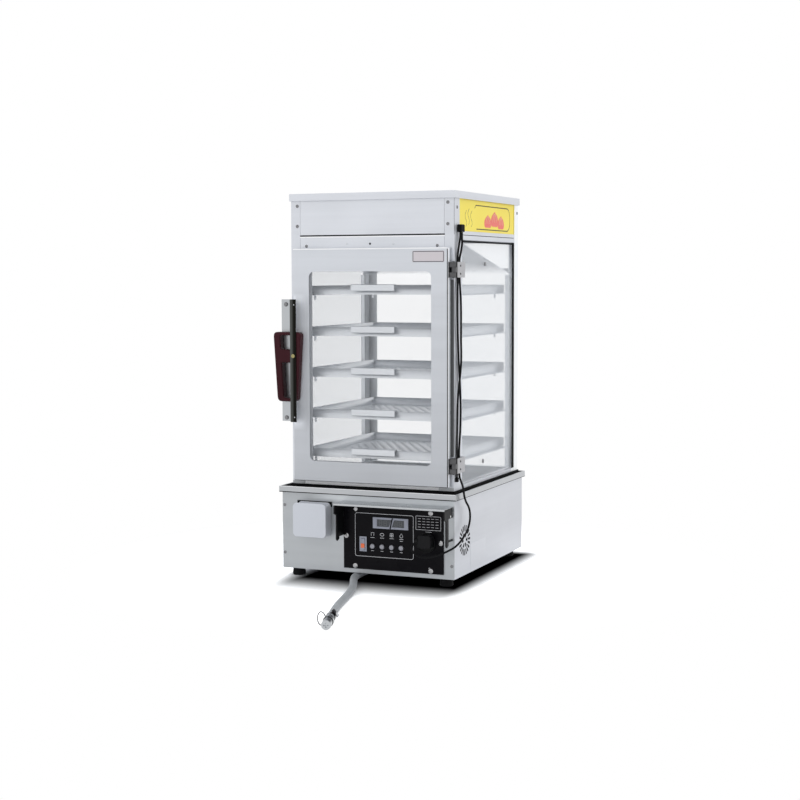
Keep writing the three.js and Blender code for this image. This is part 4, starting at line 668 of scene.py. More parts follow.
# %% [markdown]
# ## Glass
# The panes are 4 mm float glass. Real refraction costs a great deal of light
# paths and is lost when the model leaves Blender, so the pane is made as a
# thin veil instead: almost clear when looked through, denser at a glancing
# angle, as glass is, with a cool tint and a sharp shine.

# %% Panes
pane = Finish("clear_glass", "clear_glass", (0.92, 0.95, 0.99), 0.05, ior=1.5)
glancing = pane.node("LayerWeight", {}, {"Blend": 0.3}, output=0)
haze = pane.patches(5, 0.35, 0.8, detail=2.0)
pane.set("Alpha", 0.05 + 0.30 * glancing + 0.02 * haze)
pane.set("Roughness", 0.04 + 0.05 * haze)
panes = [made_part(f"glass_{side}", pane, edge=0.3) for side in ("left", "right", "back")]
panes.append(made_part("door_glass", pane, "door", edge=0.3))
print("panes:", len(panes))

# %% [markdown]
# ## Black plastic and rubber
# The control panel is smooth black sheet, the plug and the fan are satin
# mouldings, and the feet and the seals are matt rubber with a little dust in
# it. The door's gasket is grey silicone, because black would show as a frame
# round its window. White surroundings would turn black plastic grey, so its
# shine is held back where the real one shows none.

# %% Black finishes
panel_black = Finish(
    "panel_black", "black_plastic", (0.005, 0.0045, 0.006), 0.3, specular_ior_level=0.07,
)
smear = panel_black.patches(30, 0.4, 0.8)
panel_black.set("Roughness", 0.24 + 0.18 * smear)
panel_black.paint(smear, (0.0045, 0.004, 0.0055), (0.0065, 0.006, 0.0075))
black_moulding = Finish(
    "black_moulding", "black_plastic", (0.0055, 0.0055, 0.0065), (0.34, 0.18, 60), specular_ior_level=0.16,
)
black_moulding.relief(1300, 0.35, 0.04)
rubber = Finish("black_rubber", "black_rubber", (0.006, 0.006, 0.0065), 0.8, specular_ior_level=0.1)
dust = rubber.patches(45, 0.5, 0.85, detail=5.0)
rubber.paint(dust, (0.0045, 0.0045, 0.005), (0.014, 0.014, 0.015))
rubber.set("Roughness", 0.68 + 0.2 * dust)
rubber.relief(700, 0.4, 0.08)
silicone = Finish("grey_silicone", "hose_rubber", (0.46, 0.47, 0.49), (0.42, 0.2, 80))
print("black finishes made")

# %% Black parts and the gasket
made_part("control_panel", panel_black)
for name in ("socket_outlet", "fan_frame", "hood_arm_left", "hood_arm_right"):
    made_part(name, black_moulding, edge=0.3)
plug = made_part("plug", black_moulding, edge=1.2, steps=3)
made_part("fan_rotor", black_moulding, "fan_rotor", edge=0.25)
made_part("door_gasket", silicone, "door", edge=0.5)
feet = [f"foot_{end}_{side}" for end in ("front", "back") for side in ("left", "right")]
for name in [*feet, "lead_gland", "lead_grommet"]:
    made_part(name, rubber, edge=0.8, steps=3)
declare_cord(
    lamp_lead, lamp_lead_line, LEAD_RADIUS,
    far_end="plug", stiffness="medium", lay="hanging", with_pieces=[plug],
)
print("black parts made")

# %% [markdown]
# ## Water cup
# The cup that fills the pan is a milky moulding with thick round edges.

# %% Cup
milky = Finish("milky_plastic", "cup_plastic", (0.67, 0.69, 0.74), (0.32, 0.14, 40))
milky.relief(500, 0.15, 0.03)
made_part("water_cup", milky, edge=1.1, steps=3)
print("cup made")

# %% [markdown]
# ## Handle
# The handle is compression-moulded, dark red, with generous radii all round
# and a polish that only the mould gives.

# %% Handle
maroon = Finish("maroon_moulding", "handle_bakelite", (0.040, 0.010, 0.013), 0.25, specular_ior_level=0.08)
swirl = maroon.patches(22, 0.35, 0.7, stretch=(1, 1, 0.3), detail=4.0)
maroon.paint(swirl, (0.052, 0.0125, 0.0175), (0.038, 0.009, 0.012))
maroon.set("Roughness", 0.16 + 0.1 * swirl)
made_part("door_handle", maroon, "door", edge=3.2, steps=4)
print("handle made")

# %% [markdown]
# ## Handle rail
# The strip behind the handle is folded to a step. Its back flange is bright and is bolted to the door. The
# front flange that carries the handle mirrors its dark surroundings, and that dark reflection is painted
# into its colour: grey-green along its left third and almost black beyond. Two masks paint it: the depth
# tells the flanges apart, and the width finds the lighter third.

# %% Rail finish
rail_skin = Finish("rail_with_painted_reflection", "polished_steel", (0.60, 0.62, 0.63), 0.32, 1.0)
front_flange = 1 - rail_skin.past("Y", -207, -205)
right_part = rail_skin.past("X", -162.5, -157.5)
# painted dark reflection on the front flange: grey-green on its left third, near black beyond
painted_dark_reflection = rail_skin.shade(right_part, (0.085, 0.089, 0.084), (0.011, 0.011, 0.009))
rail_skin.paint(front_flange, (0.50, 0.52, 0.54), painted_dark_reflection)
rail_skin.set("Roughness", 0.26 + 0.14 * rail_skin.mottle(1.0, **HAIR_LINES))
made_part("handle_rail", rail_skin, "door", edge=0.3)
print("rail made")

# %% [markdown]
# ## What is set in the panel
# Four push buttons, a rocker switch and a display. The rocker, its bezel and
# the display are moulded in the same pale lilac-grey plastic.

# %% Buttons, rocker and display
lilac = Finish(
    "lilac_plastic", "display_grey", (0.36, 0.375, 0.44), (0.28, 0.16, 70), specular_ior_level=0.3,
)
lilac.relief(600, 0.15, 0.03)
button_cap = Finish("button_cap", "polished_steel", (0.31, 0.31, 0.345), (0.24, 0.2, 200), 0.5)
for number in range(1, 5):
    made_part(f"button_{number}", button_cap, f"button_{number}", edge=0.5, steps=3)
made_part("rocker", lilac, "rocker")
for name in ("rocker_bezel", "display_module"):
    made_part(name, lilac, edge=0.3)
print("controls made")

# %% [markdown]
# ## What is inside
# The board, the heating element and the lamp are hidden behind steel, and can
# be seen through the vent, from below or with the part taken apart. The
# element has a crust of lime where the water boils off it.

# %% Hidden parts
board = Finish("board_green", "board_green", (0.015, 0.085, 0.035), (0.35, 0.2, 120))
element = Finish("element_steel", "element_steel", (0.42, 0.41, 0.40), 0.4, 1.0)
lime = element.patches(60, 0.45, 0.8, detail=5.0)
element.paint(lime, (0.42, 0.41, 0.40), (0.62, 0.60, 0.56))
element.set("Roughness", 0.32 + 0.35 * lime)
lamp_glass = Finish("lamp_glass", "lamp_white", (0.92, 0.92, 0.88), (0.22, 0.1, 50))
for name, finish, edge in (
    ("control_board", board, 0.2), ("heating_element", element, 0.3),
    ("lamp_tube", lamp_glass, 0.2), ("lamp_batten", milky, 0.5),
):
    made_part(name, finish, edge=edge)
print("hidden parts made")

# %% [markdown]
# ## Small parts: made flat, then stood up
# Screws, plates and print are easiest to make lying on the ground, facing up.
# A turn then stands each one on its side of the case: for the front, what
# pointed up now points at the viewer. The mesh itself is moved and turned, so
# every finished piece keeps its object at the origin.

# %% Stand a flat piece up on a side of the case
FACING = {
    "front": Matrix(((1, 0, 0), (0, 0, -1), (0, 1, 0))),
    "right": Matrix(((0, 0, 1), (1, 0, 0), (0, 1, 0))),
    "left": Matrix(((0, 0, -1), (-1, 0, 0), (0, 1, 0))),
    "back": Matrix(((-1, 0, 0), (0, 0, 1), (0, 1, 0))),
}


def stand_up(piece, side, plane, place=(0, 0), spin=0.0, size=1.0):
    """Stands a piece that lies on the ground up on a side: on a plane, so far along it and so far up."""
    along, up = place
    at = spot(along, plane, up) if side in ("front", "back") else spot(plane, along, up)
    turn = FACING[side].to_4x4() @ Matrix.Rotation(spin, 4, "Z") @ Matrix.Scale(size, 4)
    piece.data.transform(Matrix.Translation(at) @ turn)


def join(pieces):
    """Makes one piece of several, under the name of the first."""
    choose(*pieces)
    if len(pieces) > 1:
        bpy.ops.object.join()
    return pieces[0]


FIRST_SPIN, NEXT_SPIN = 0.3, 0.7


def set_out(pattern, name, finish, side, plane, places, body="case", size=1.0):
    """Copies of one pattern, each with its own mesh and its own turn, joined into one piece."""
    copies = []
    for number, place in enumerate(places):
        copies.append(add_object(name, pattern.data.copy()))
        stand_up(copies[-1], side, plane, place, FIRST_SPIN + NEXT_SPIN * number, size)
    return adopt(join(copies), finish, body)


print("sides:", list(FACING))

# %% [markdown]
# ## Shaping a piece by hand
# Small turned and punched parts are shaped as they would be by hand in edit
# mode: open the piece, pick faces or edges by where they lie, inset and lift
# them or draw them out, and close the piece again. The test that picks them
# is handed in, so one function serves every part.

# %% Tools to shape a piece in edit mode
def start_editing(piece, test, kind="FACE"):
    """Goes into edit mode with only the faces or edges selected that pass the test."""
    choose(piece)
    bpy.ops.object.mode_set(mode="EDIT")
    bpy.ops.mesh.select_mode(type=kind)
    bpy.ops.mesh.select_all(action="DESELECT")
    shape = bmesh.from_edit_mesh(piece.data)
    for part in shape.faces if kind == "FACE" else shape.edges:
        middle = sum((corner.co for corner in part.verts), Vector()) / len(part.verts)
        part.select_set(test(middle / MM, part))
    bmesh.update_edit_mesh(piece.data)


def lift(height, inset):
    """Insets what is selected and moves it up, in millimetres."""
    bpy.ops.mesh.inset(thickness=inset * MM)
    bpy.ops.transform.translate(value=(0, 0, height * MM))


def finish_editing(piece, turn=35):
    bpy.ops.object.mode_set(mode="OBJECT")
    bpy.ops.object.shade_smooth_by_angle(angle=math.radians(turn))


def add_disc(sides, radius, depth, base=0.0):
    """A short upright cylinder that stands at a height, in millimetres."""
    bpy.ops.mesh.primitive_cylinder_add(
        vertices=sides, radius=radius * MM, depth=depth * MM, location=(0, 0, (base + depth / 2) * MM),
    )
    return bpy.context.object


def domed(disc, *lifts):
    """Raises the top of a disc in steps, each a height and an inset in millimetres."""
    start_editing(disc, lambda middle, face: face.normal.z > 0.9)
    for height, inset in lifts:
        lift(height, inset)
    finish_editing(disc)
    return disc


def cut_cross(piece, first_turn, height, bar_size):
    """Cuts a cross into a piece with two bars. Sizes are in millimetres and the turn is in degrees."""
    for turn in (first_turn, first_turn + 90):
        bpy.ops.mesh.primitive_cube_add(
            size=MM, location=(0, 0, height * MM), rotation=(0, 0, math.radians(turn)), scale=bar_size,
        )
        bar = bpy.context.object
        apply_modifier(piece, "BOOLEAN", object=bar)
        bpy.data.objects.remove(bar)


print("shaping tools ready")

# %% [markdown]
# ## A crosshead screw
# One screw is made with care and copied everywhere. It starts as a short
# cylinder. Its top is inset and lifted twice, which gives the low dome, and
# two bars cut the cross out of it.

# %% Make the screw
dome_pattern = domed(add_disc(20, 3.5, 0.9), (0.5, 0.9), (0.25, 1.0))
screw_pattern = add_object("screw_pattern", dome_pattern.data.copy())
cut_cross(screw_pattern, 0, 1.75, (4.4, 1.0, 1.7))
print("screw:", len(screw_pattern.data.polygons), "faces")

# %% [markdown]
# The screws of the head, the lintel and the base sit in the sheet's corners.
# Those of the panel are larger and zinc-plated. Polished steel between white
# walls shows as a dark ring with one small bright glint, so the small screws
# are darker than the sheet. The back was not in the picture, and it gets the
# same screws as the front, because the sheets are alike.

# %% Drive the screws
HINGE_FACE = 187.5
for name, finish, plane, size, places in (
    ("fascia", screw_steel, CABINET_FRONT, 1.0, [
        (-166.5, 768.8), (-166.8, 727.4), (167.5, 770.7), (167.5, 727.9),
    ]),
    ("lintel", screw_steel, CABINET_FRONT, 0.9, [(-145.9, 686.2), (144.9, 685.1)]),
    ("base_front", screw_steel, BASE_FRONT, 0.95, [
        (-187, 149.3), (-187, 49.3), (186.8, 44.4), (186.8, 152.5),
    ]),
    ("panel", zinc, PANEL_FACE, 1.45, [
        (-24.3, 149.8), (-44.4, 93.4), (-24.5, 32), (142.2, 149.6), (163.6, 89.9), (142.1, 32),
    ]),
):
    set_out(screw_pattern, f"{name}_screws", finish, "front", plane, places, size=size)
for side, plane in (("right", HEAD_SIDE), ("left", -HEAD_SIDE)):
    places = [(-166.1, 761.3), (203.6, 761.5)]
    set_out(screw_pattern, f"head_screws_{side}", screw_steel, side, plane, places)
for name, aside, heights in (("base", 184, (28, 166)), ("head", 172, (727, 769))):
    places = [(x, z) for x in (-aside, aside) for z in heights]
    set_out(screw_pattern, f"{name}_back_screws", screw_steel, "back", CASE_BACK, places)
for name, z in (("upper", 636.5), ("lower", 243)):
    set_out(
        screw_pattern, f"hinge_{name}_screws", black_moulding, "right", HINGE_FACE,
        [(-163.9, z - 8), (-163.9, z + 8)], size=0.62,
    )
set_out(screw_pattern, "handle_screw", brass, "front", RAIL_FACE, [(-159.2, 460.6)], "door", 1.15)

# %% [markdown]
# The same low dome without a cross is a rivet, a stud that holds a pane, or
# the rubber plug of an unused hole.

# %% Rivets, plug and studs
set_out(
    dome_pattern, "lintel_rivets", runner_steel, "front", CABINET_FRONT,
    [(-53.6, 690.6), (49.4, 689.7)], size=0.62,
)
set_out(dome_pattern, "lintel_plug", rubber, "front", CABINET_FRONT, [(-2.1, 690)], size=0.62)
set_out(
    dome_pattern, "rail_rivets", runner_steel, "front", RAIL_FACE,
    [(-156.5, 566), (-156.5, 334)], "door", 0.32,
)
for side, plane in (("right", GLASS_SIDE), ("left", -GLASS_SIDE)):
    places = [(4.1, 649), (-6.7, 234.2)]
    set_out(dome_pattern, f"glass_studs_{side}", screw_steel, side, plane, places, size=1.3)

# %% [markdown]
# ## Bolts of the rail
# Two hexagon bolts with round washers hold the rail to the door. The washer
# is a low cylinder, and the hexagon is added to the same mesh in edit mode.

# %% Rail bolts
RAIL_BACK_FLANGE = -202.25
WASHER_TOP = 0.5
bolt_pattern = add_disc(24, 5.4, 0.9)
start_editing(bolt_pattern, lambda middle, face: False)
add_disc(6, 4.2, 3.0, WASHER_TOP)
finish_editing(bolt_pattern)
start_editing(bolt_pattern, lambda middle, face: middle.z > 3.4)
lift(0.35, 0.8)
finish_editing(bolt_pattern)
break_edges(bolt_pattern, 0.18, 1)
places = [(-184.6, 566.6), (-184.9, 331.3)]
set_out(bolt_pattern, "rail_bolts", screw_steel, "front", RAIL_BACK_FLANGE, places, "door", 0.9)
print("bolts:", len(places))

# %% [markdown]
# ## Print
# The panel, the door plate and the sign carry thin printed lines. Each is a
# stroke of ink with a slight height of its own. The strokes are swept like a
# cord and then squashed flat, so that they stand only a few hundredths of a
# millimetre above the sheet, and never fight with it for the same plane.

# %% Print lines on a side
INK_SHINE = (0.42, 0.2, 400)
FLAT = 0.15


def arc(u, v, wide, high, turns):
    """Points round a middle, at turns in degrees."""
    return [(u + wide * math.cos(math.radians(a)), v + high * math.sin(math.radians(a))) for a in turns]


def rounded(u0, u1, v0, v1, radius, steps=5):
    """A rectangle with round corners, as points in millimetres."""
    corners = (
        (u1 - radius, v0 + radius, -90), (u1 - radius, v1 - radius, 0),
        (u0 + radius, v1 - radius, 90), (u0 + radius, v0 + radius, 180),
    )
    return [
        point for u, v, start in corners
        for point in arc(u, v, radius, radius, [start + 90 * step / steps for step in range(steps + 1)])
    ]


def on_the_ground(lines):
    """Lines in millimetres, as the same lines lying on the ground, in metres."""
    return [([(u * MM, v * MM, 0) for u, v in points], closed) for points, closed in lines]


def as_mesh(curve_piece):
    """Turns a piece that is a curve into a mesh."""
    choose(curve_piece)
    bpy.ops.object.convert(target="MESH")
    return bpy.context.object


def printed(name, lines, width, finish, side, plane, body="case"):
    """Lines of print on a side of the case. Each line is its points and whether it is closed."""
    piece = as_mesh(swept(name, on_the_ground(lines), width / 2 * MM, sides=1))
    piece.data.transform(Matrix.Scale(FLAT, 4, (0, 0, 1)))
    stand_up(piece, side, plane)
    return adopt(piece, finish, body)


def stroke(u, v, length):
    """A level stroke about a place."""
    return ([(u - length / 2, v), (u + length / 2, v)], False)


def panel_print(name, lines):
    printed(name, lines, 0.9, white_ink, "front", PANEL_FACE)


white_ink = Finish("white_ink", "cup_plastic", (0.74, 0.74, 0.76), INK_SHINE)
panel_print("panel_outline", [(rounded(-24.5, 104.2, 53, 142, 4), True)])
panel_print("panel_box", [(rounded(109.9, 163.8, 115, 142.7, 1), True)])
print("outlines printed")

# %% [markdown]
# The fan blows out of a ring of punched slots in the right side. The shade inside each slot looks wider
# than the slot, so a black line of painted shade is drawn round each one.

# %% Painted shade round the slots of the vent
slot_shade_lines = []
for count, inner, outer in ((20, 18.9, 30.6), (6, 7.4, 15.1)):
    for number in range(count):
        turns = [(4 * number + share) * 90 / count for share in (-0.85, 0.0, 0.85)]
        there = arc(VENT_Y, VENT_Z, inner, inner, turns)
        back = arc(VENT_Y, VENT_Z, outer, outer, reversed(turns))
        slot_shade_lines.append((there + back, True))
# painted shade: a black line round each slot
printed("vent_slot_shade", slot_shade_lines, 1.3, black_moulding, "right", BASE_SIDE)
print("slots:", len(slot_shade_lines))

# %% [markdown]
# Over each button stands a small sign for what it does: a box, a bun, a
# window of four panes and a drop. The rest of the print is plain strokes, the
# most of them in a block of four rows by five at the right.

# %% Signs over the buttons
BUTTONS_X = [14.1 + 21.2 * number for number in range(4)]
GRILLE_U, GRILLE_V = (117.5, 127, 136.5, 146, 155.5), (137.5, 131.8, 126.1, 120.4)
box, bun, window, drop = BUTTONS_X
signs = [
    ([(box - 3, 96), (box - 3, 103), (box + 3, 103), (box + 3, 96)], False),
    (arc(bun, 99.6, 4.2, 2.8, range(0, 360, 24)), True),
    ([(drop, 104.2), *arc(drop, 98.6, 3.1, 3.1, range(30, -211, -24))], True),
    (rounded(window - 3.4, window + 3.4, 96.4, 103.2, 0.6, 1), True),
    stroke(window, 99.8, 6.8),
    ([(window, 96.4), (window, 103.2)], False),
]
panel_print("button_signs", signs)
strokes = [stroke(u, 92.6, 9) for u in BUTTONS_X] + [stroke(u, 65.4, 6) for u in BUTTONS_X]
strokes += [stroke(drop, 88.6, 6), stroke(137.5, 111.0, 13), stroke(139, 38, 4)]
strokes += [stroke(u, v, 6.5) for v in GRILLE_V for u in GRILLE_U]
panel_print("panel_strokes", strokes)
print("signs:", len(signs), "strokes:", len(strokes))

# %% [markdown]
# ## Flat plates
# A readout, a label and a lens are all flat pieces cut to an outline. A flat
# curve fills itself, and a little extrusion gives it its thickness. It is made
# a mesh before it is stood up.

# %% Cut a plate to an outline
def plate(name, outlines, thickness, finish, side, plane, body="case", edge=0.1):
    """Flat plates cut to outlines in millimetres, on a side of the case."""
    piece = as_mesh(curve_of(
        name, on_the_ground([(outline, True) for outline in outlines]),
        dimensions="2D", fill_mode="BOTH", extrude=thickness / 2 * MM,
    ))
    start_editing(piece, lambda middle, face: True)
    join_flat_faces()
    bpy.ops.mesh.normals_make_consistent(inside=False)
    bpy.ops.transform.translate(value=(0, 0, thickness / 2 * MM))
    finish_editing(piece)
    break_edges(piece, edge, 1, 60)
    stand_up(piece, side, plane)
    return adopt(piece, finish, body)


WINDOW_BACK, WINDOW_FACE, DISPLAY_FACE = -212.6, -213.1, -214.05
readout = Finish(
    "readout_glass", "display_grey", (0.085, 0.09, 0.098), (0.14, 0.1, 150), specular_ior_level=0.3,
)
windows = [
    [(24.3, 116.3), (50.9, 116.3), (55.7, 130.6), (24.3, 130.6)],
    [(57.4, 116.3), (83.9, 116.3), (83.9, 130.6), (62.2, 130.6)],
]
plate("display_windows", windows, 0.5, readout, "front", WINDOW_BACK)
divider = ([(53.4, 112.3), (58.6, 134.6)], False)
printed("display_divider", [divider], 3.0, panel_black, "front", DISPLAY_FACE)
print("windows:", len(windows))

# %% [markdown]
# The readouts are off, and the unlit digits show as faint grey bars. The
# orange lens sits low in the rocker and moves with it.

# %% Digits and lens
LENS_SUNK = 1.3
faint = Finish("faint_segment", "display_grey", (0.14, 0.15, 0.155), (0.26, 0.1, 150))
digits = []
for left in (29.5, 39.5, 63.5, 73):
    digits += [(rounded(left, left + 5.4, 118.4, 128.4, 0.6, 1), True), stroke(left + 2.7, 123.4, 5.4)]
printed("display_digits", digits, 0.8, faint, "front", WINDOW_FACE)
lens = Finish("orange_lens", "switch_red", (0.80, 0.14, 0.045), (0.16, 0.1, 200))
lens.paint(lens.mottle(90), (0.95, 0.20, 0.065), (0.85, 0.15, 0.045))
rocker_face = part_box("rocker")[0][1] / MM - FOOTPRINT_SHIFT.y
lens_outline = rounded(-10.6, -2.6, 70.6, 79.4, 1)
plate("rocker_lens", [lens_outline], 0.9, lens, "front", rocker_face + LENS_SUNK, "rocker")
print("rocker front at y", round(rocker_face, 2))

# %% [markdown]
# ## Plates
# The door carries a small pale plate with a thin grey border, and a foil plate sits low on the base's side.
# Two darker grey plates sit at the corners of the cabinet's foot under the door. The bright strip between
# them is painted light, and is made with the folds further down.

# %% Plates
DOOR_PLATE = 0.5
label_white = Finish("label_white", "cup_plastic", (0.68, 0.63, 0.65), (0.34, 0.16, 60))
grey_ink = Finish("grey_ink", "black_plastic", (0.09, 0.09, 0.105), INK_SHINE)
door_outline = rounded(98.0, 166.6, 651.9, 674.4, 1.5)
plate("door_plate", [door_outline], DOOR_PLATE, label_white, "front", DOOR_FACE, "door")
border = (rounded(99.5, 165.1, 653.1, 673.2, 1.5), True)
printed("door_plate_border", [border], 1.5, grey_ink, "front", DOOR_FACE - DOOR_PLATE, "door")
foil = Finish("label_foil", "brushed_steel", (0.72, 0.735, 0.775), (0.4, 0.2, 80), 0.7)
plate("base_plate", [rounded(-118, -28, 24, 76, 2)], 0.3, foil, "right", BASE_SIDE)
corner_outlines = [rounded(-180.6, -153, 180, 198.4, 1), rounded(148, 180.6, 180, 198.4, 1)]
plate("foot_corners", corner_outlines, 1.6, corner_steel, "front", CABINET_FRONT)
print("plates made")

# %% [markdown]
# ## Sign
# The side of the head is a yellow acrylic panel, lit from behind. Its print is
# drawn afresh: three steamed buns with pleats, and curls of steam, inside an
# olive line that is open at its left end.

# %% The yellow panel and its line
acrylic = Finish("sign_acrylic", "sign_acrylic", (1.0, 0.84, 0.12), 0.3, specular_ior_level=0.2)
glow = acrylic.patches(6, 0.3, 0.7, detail=2.0)
acrylic.paint(glow, (1.0, 0.84, 0.10), (0.97, 0.76, 0.07))
acrylic.set("Roughness", 0.26 + 0.1 * glow)
made_part("sign_panel", acrylic, edge=0.3)
olive_ink = Finish("olive_ink", "sign_acrylic", (0.055, 0.05, 0.015), INK_SHINE)
loop = rounded(-90, 160, 720.5, 769, 19)
open_loop = [(-60, 763), (-54, 769), *(point for point in reversed(loop) if point[0] > -40), (-50, 720.5)]
printed("sign_line", [(open_loop, False)], 2.2, olive_ink, "right", SIGN_FACE)
print("sign line:", len(open_loop), "points")


# %% [markdown]
# Each bun overlaps the next, so each is its own thin plate and stands a little
# further out than the one before. The pleats run down from its twisted tip.

# %% Buns and steam
def bun_outline(middle, low, width, height):
    """A steamed bun from the side: a flat foot, full cheeks and a small twisted tip."""
    return [
        (middle + width / 2 * u, low + height * v) for u, v in (
            (-0.72, 0.0), (0.72, 0.0), (0.95, 0.16), (1.0, 0.36), (0.88, 0.58), (0.6, 0.76), (0.3, 0.87),
            (0.12, 0.92), (0.1, 1.0), (-0.06, 0.97), (-0.16, 0.91), (-0.34, 0.86), (-0.62, 0.74),
            (-0.9, 0.56), (-1.0, 0.34), (-0.94, 0.14),
        )
    ]


BUN_STEP, PLEATS_PROUD = 0.07, 0.28
coral = Finish("coral_print", "sign_acrylic", (0.90, 0.20, 0.165), (0.34, 0.14, 80), specular_ior_level=0.2)
coral.paint(coral.mottle(25), (0.94, 0.225, 0.18), (0.86, 0.165, 0.14))
buns = ((19, 725, 44, 27), (61, 728, 46, 32), (101, 724, 40, 28))
pleats = []
for number, (middle, low, width, height) in enumerate(buns):
    outline = bun_outline(middle, low, width, height)
    plane = SIGN_FACE + BUN_STEP * number
    plate(f"sign_bun_{number + 1}", [outline], 0.12, coral, "right", plane, edge=0.03)
    pleats += [([
        (middle + width / 2 * lean * reach, low + height * v)
        for reach, v in ((0.15, 0.86), (0.6, 0.72), (0.95, 0.5), (1.1, 0.3))
    ], False) for lean in (-0.5, 0.0, 0.5)]
cream_ink = Finish("cream_ink", "sign_acrylic", (0.95, 0.72, 0.40), INK_SHINE)
printed("sign_pleats", pleats, 1.3, cream_ink, "right", SIGN_FACE + PLEATS_PROUD)
steam = [([
    (middle + 4.5 * math.sin(step * 0.7), low + 3.3 * step) for step in range(11)
], False) for middle, low in ((-112, 724), (-96, 728), (-80, 724))]
printed("sign_steam", steam, 1.4, olive_ink, "right", SIGN_FACE)
print("buns:", len(buns), "curls of steam:", len(steam))

# %% [markdown]
# ## Seals and bars of painted shade
# A black band lies round the foot of the cabinet, in the gutter, and a black strip beds each side pane
# against the rear post and the head rail. A dark grey bar of painted shade fills the gap between the door's
# hinge side and its post, and a short black bar of painted shade lies along the top of the cup. Each is a
# straight bar whose long edges are broken wide.

# %% Rubber bars
def bars(name, boxes, finish, body="case", edge=0.7, steps=3):
    """Straight bars between two corners each, in millimetres, with their edges broken."""
    pieces = []
    for low, high in boxes:
        low, high = Vector(low), Vector(high)
        bpy.ops.mesh.primitive_cube_add(size=MM, location=spot(*((low + high) / 2)), scale=high - low)
        pieces.append(bpy.context.object)
    choose(*pieces)
    bpy.ops.object.transform_apply()
    piece = join(pieces)
    piece.name = name
    break_edges(piece, edge, steps)
    return adopt(piece, finish, body)


SEAL_PROUD = 2.0
bars("gutter_band", [
    ((-183.2, -185.4, 178.7), (183.2, -183, 191.9)), ((-183.2, -183, 178.7), (-181, 211, 191.9)),
    ((181, -183, 178.7), (183.2, 211, 191.9)), ((-183.2, 211, 178.7), (183.2, 213, 191.9)),
], rubber)
for side, low, high in (
    ("right", GLASS_SIDE, GLASS_SIDE + SEAL_PROUD), ("left", -GLASS_SIDE - SEAL_PROUD, -GLASS_SIDE),
):
    bars(f"glass_seal_{side}", [
        ((low, 177.5, 199.4), (high, 186.8, 696.4)), ((low, -137.5, 692.0), (high, 177.5, 695.4)),
    ], rubber)
gap_shade_grey = Finish(
    "gap_shade_grey", "black_rubber", (0.085, 0.087, 0.09), (0.5, 0.15, 60), specular_ior_level=0.2,
)
# painted shade in the gap between the door's hinge side and its post
bars("hinge_gap_shade", [((160.5, -185.2, 262), (180.6, -183, 617))], gap_shade_grey, edge=0.4)
# painted shade along the top of the cup
bars("cup_top_shade", [((-157, -212.6, 150), (-78, -211, 160.6))], rubber, edge=0.5)
print("seals made")

# %% [markdown]
# ## Painted seams and folds
# Where two sheets meet the eye sees a dark gap, and where one is folded outwards it sees a bright line,
# because the fold looks up at the light. Both are painted in as slim bars. The gaps are one to three
# millimetres wide, and a slim black bar of painted shade fills each one; the same bars paint the shade
# under the rim's lip and along the door's bottom and hinge side. The folds of the lintel, of the rim, and
# of the door's top and hinge side are slim near-white bars of painted highlight, and a wider one is painted
# light on the cabinet's foot under the door.

# %% Painted shade in the seams, painted highlights on the folds
# painted highlight: a near-white finish for the bright lines along folds
fold = Finish("painted_fold_highlight", "polished_steel", (0.99, 0.99, 1.0), 0.3, 0.2)
fold.set("Roughness", 0.26 + 0.1 * fold.mottle(1.0, stretch=(4, 4, 800), detail=2.0))
for name, finish, body, edge, boxes in (
    ("seam_shade", rubber, "case", 0.1, [
        ((-160.5, -183.35, 706), (161, -182.9, 708.8)), ((181, -133, 705.9), (181.3, 181.6, 707.1)),
        ((180.9, -183.3, 706.8), (181.4, -182.8, 779)), ((-197, -216.6, 176.7), (197, -216.1, 178.4)),
        ((197.1, -216, 176.7), (197.5, 216, 177.6)),
    ]),
    ("lintel_fold", fold, "case", 0.2, [((-160.5, -183.5, 703.3), (161, -182.9, 706))]),
    ("door_folds", fold, "door", 0.15, [
        ((-168.5, -200.4, 678.6), (173.5, -199.8, 680.9)), ((173.8, -199.4, 201.5), (174.3, -193.5, 680)),
    ]),
    # painted light on the cabinet's foot, where it lies in shade under the door
    ("foot_strip", fold, "case", 0.15, [((-152.6, -183.5, 180), (147.6, -182.9, 200))]),
    ("rim_fold", fold, "case", 0.1, [((-196, -216.6, 188.3), (196, -216.2, 189.4))]),
    ("door_seams", rubber, "door", 0.1, [
        ((-168.5, -200.35, 200.6), (173, -199.9, 201.5)), ((172.2, -200.35, 201.5), (173.9, -199.9, 678)),
    ]),
):
    bars(name, boxes, finish, body, edge, steps=1)
print("seams and folds made")

# %% [markdown]
# ## Left arm of the ledge
# The ledge over the controls hangs on a bent arm at each end. The left one
# has a web that closes the gap behind it, with three small rivets down its
# front edge.

# %% Web and rivets
LEFT_ARM_FACE, RIGHT_ARM_FACE = -53.85, 188.5
bars("hood_arm_web", [((-53.5, -236, 94), (-51.2, -211.6, 150))], black_moulding, edge=0.4, steps=2)
places = [(-234.6, 145), (-233, 132), (-229, 121)]
set_out(dome_pattern, "hood_arm_rivets", chrome, "left", LEFT_ARM_FACE, places, size=0.5)
set_out(dome_pattern, "hood_arm_stud", chrome, "right", RIGHT_ARM_FACE, [(-223, 147)], size=0.7)
print("rivets:", len(places))

# %% [markdown]
# ## Trays
# Each tray is thin sheet punched with rows of round holes, half a step over in
# every other row, with a fold round its edge and a pull in the middle of the
# front. One hole in one hexagon is made and bridged. Two hexagons side by side
# are the repeat, and arrays lay it out. The field is then trimmed along four
# lines that pass between the holes, its edge is drawn out to the tray's size
# and folded up, and the sheet gets its thickness last.

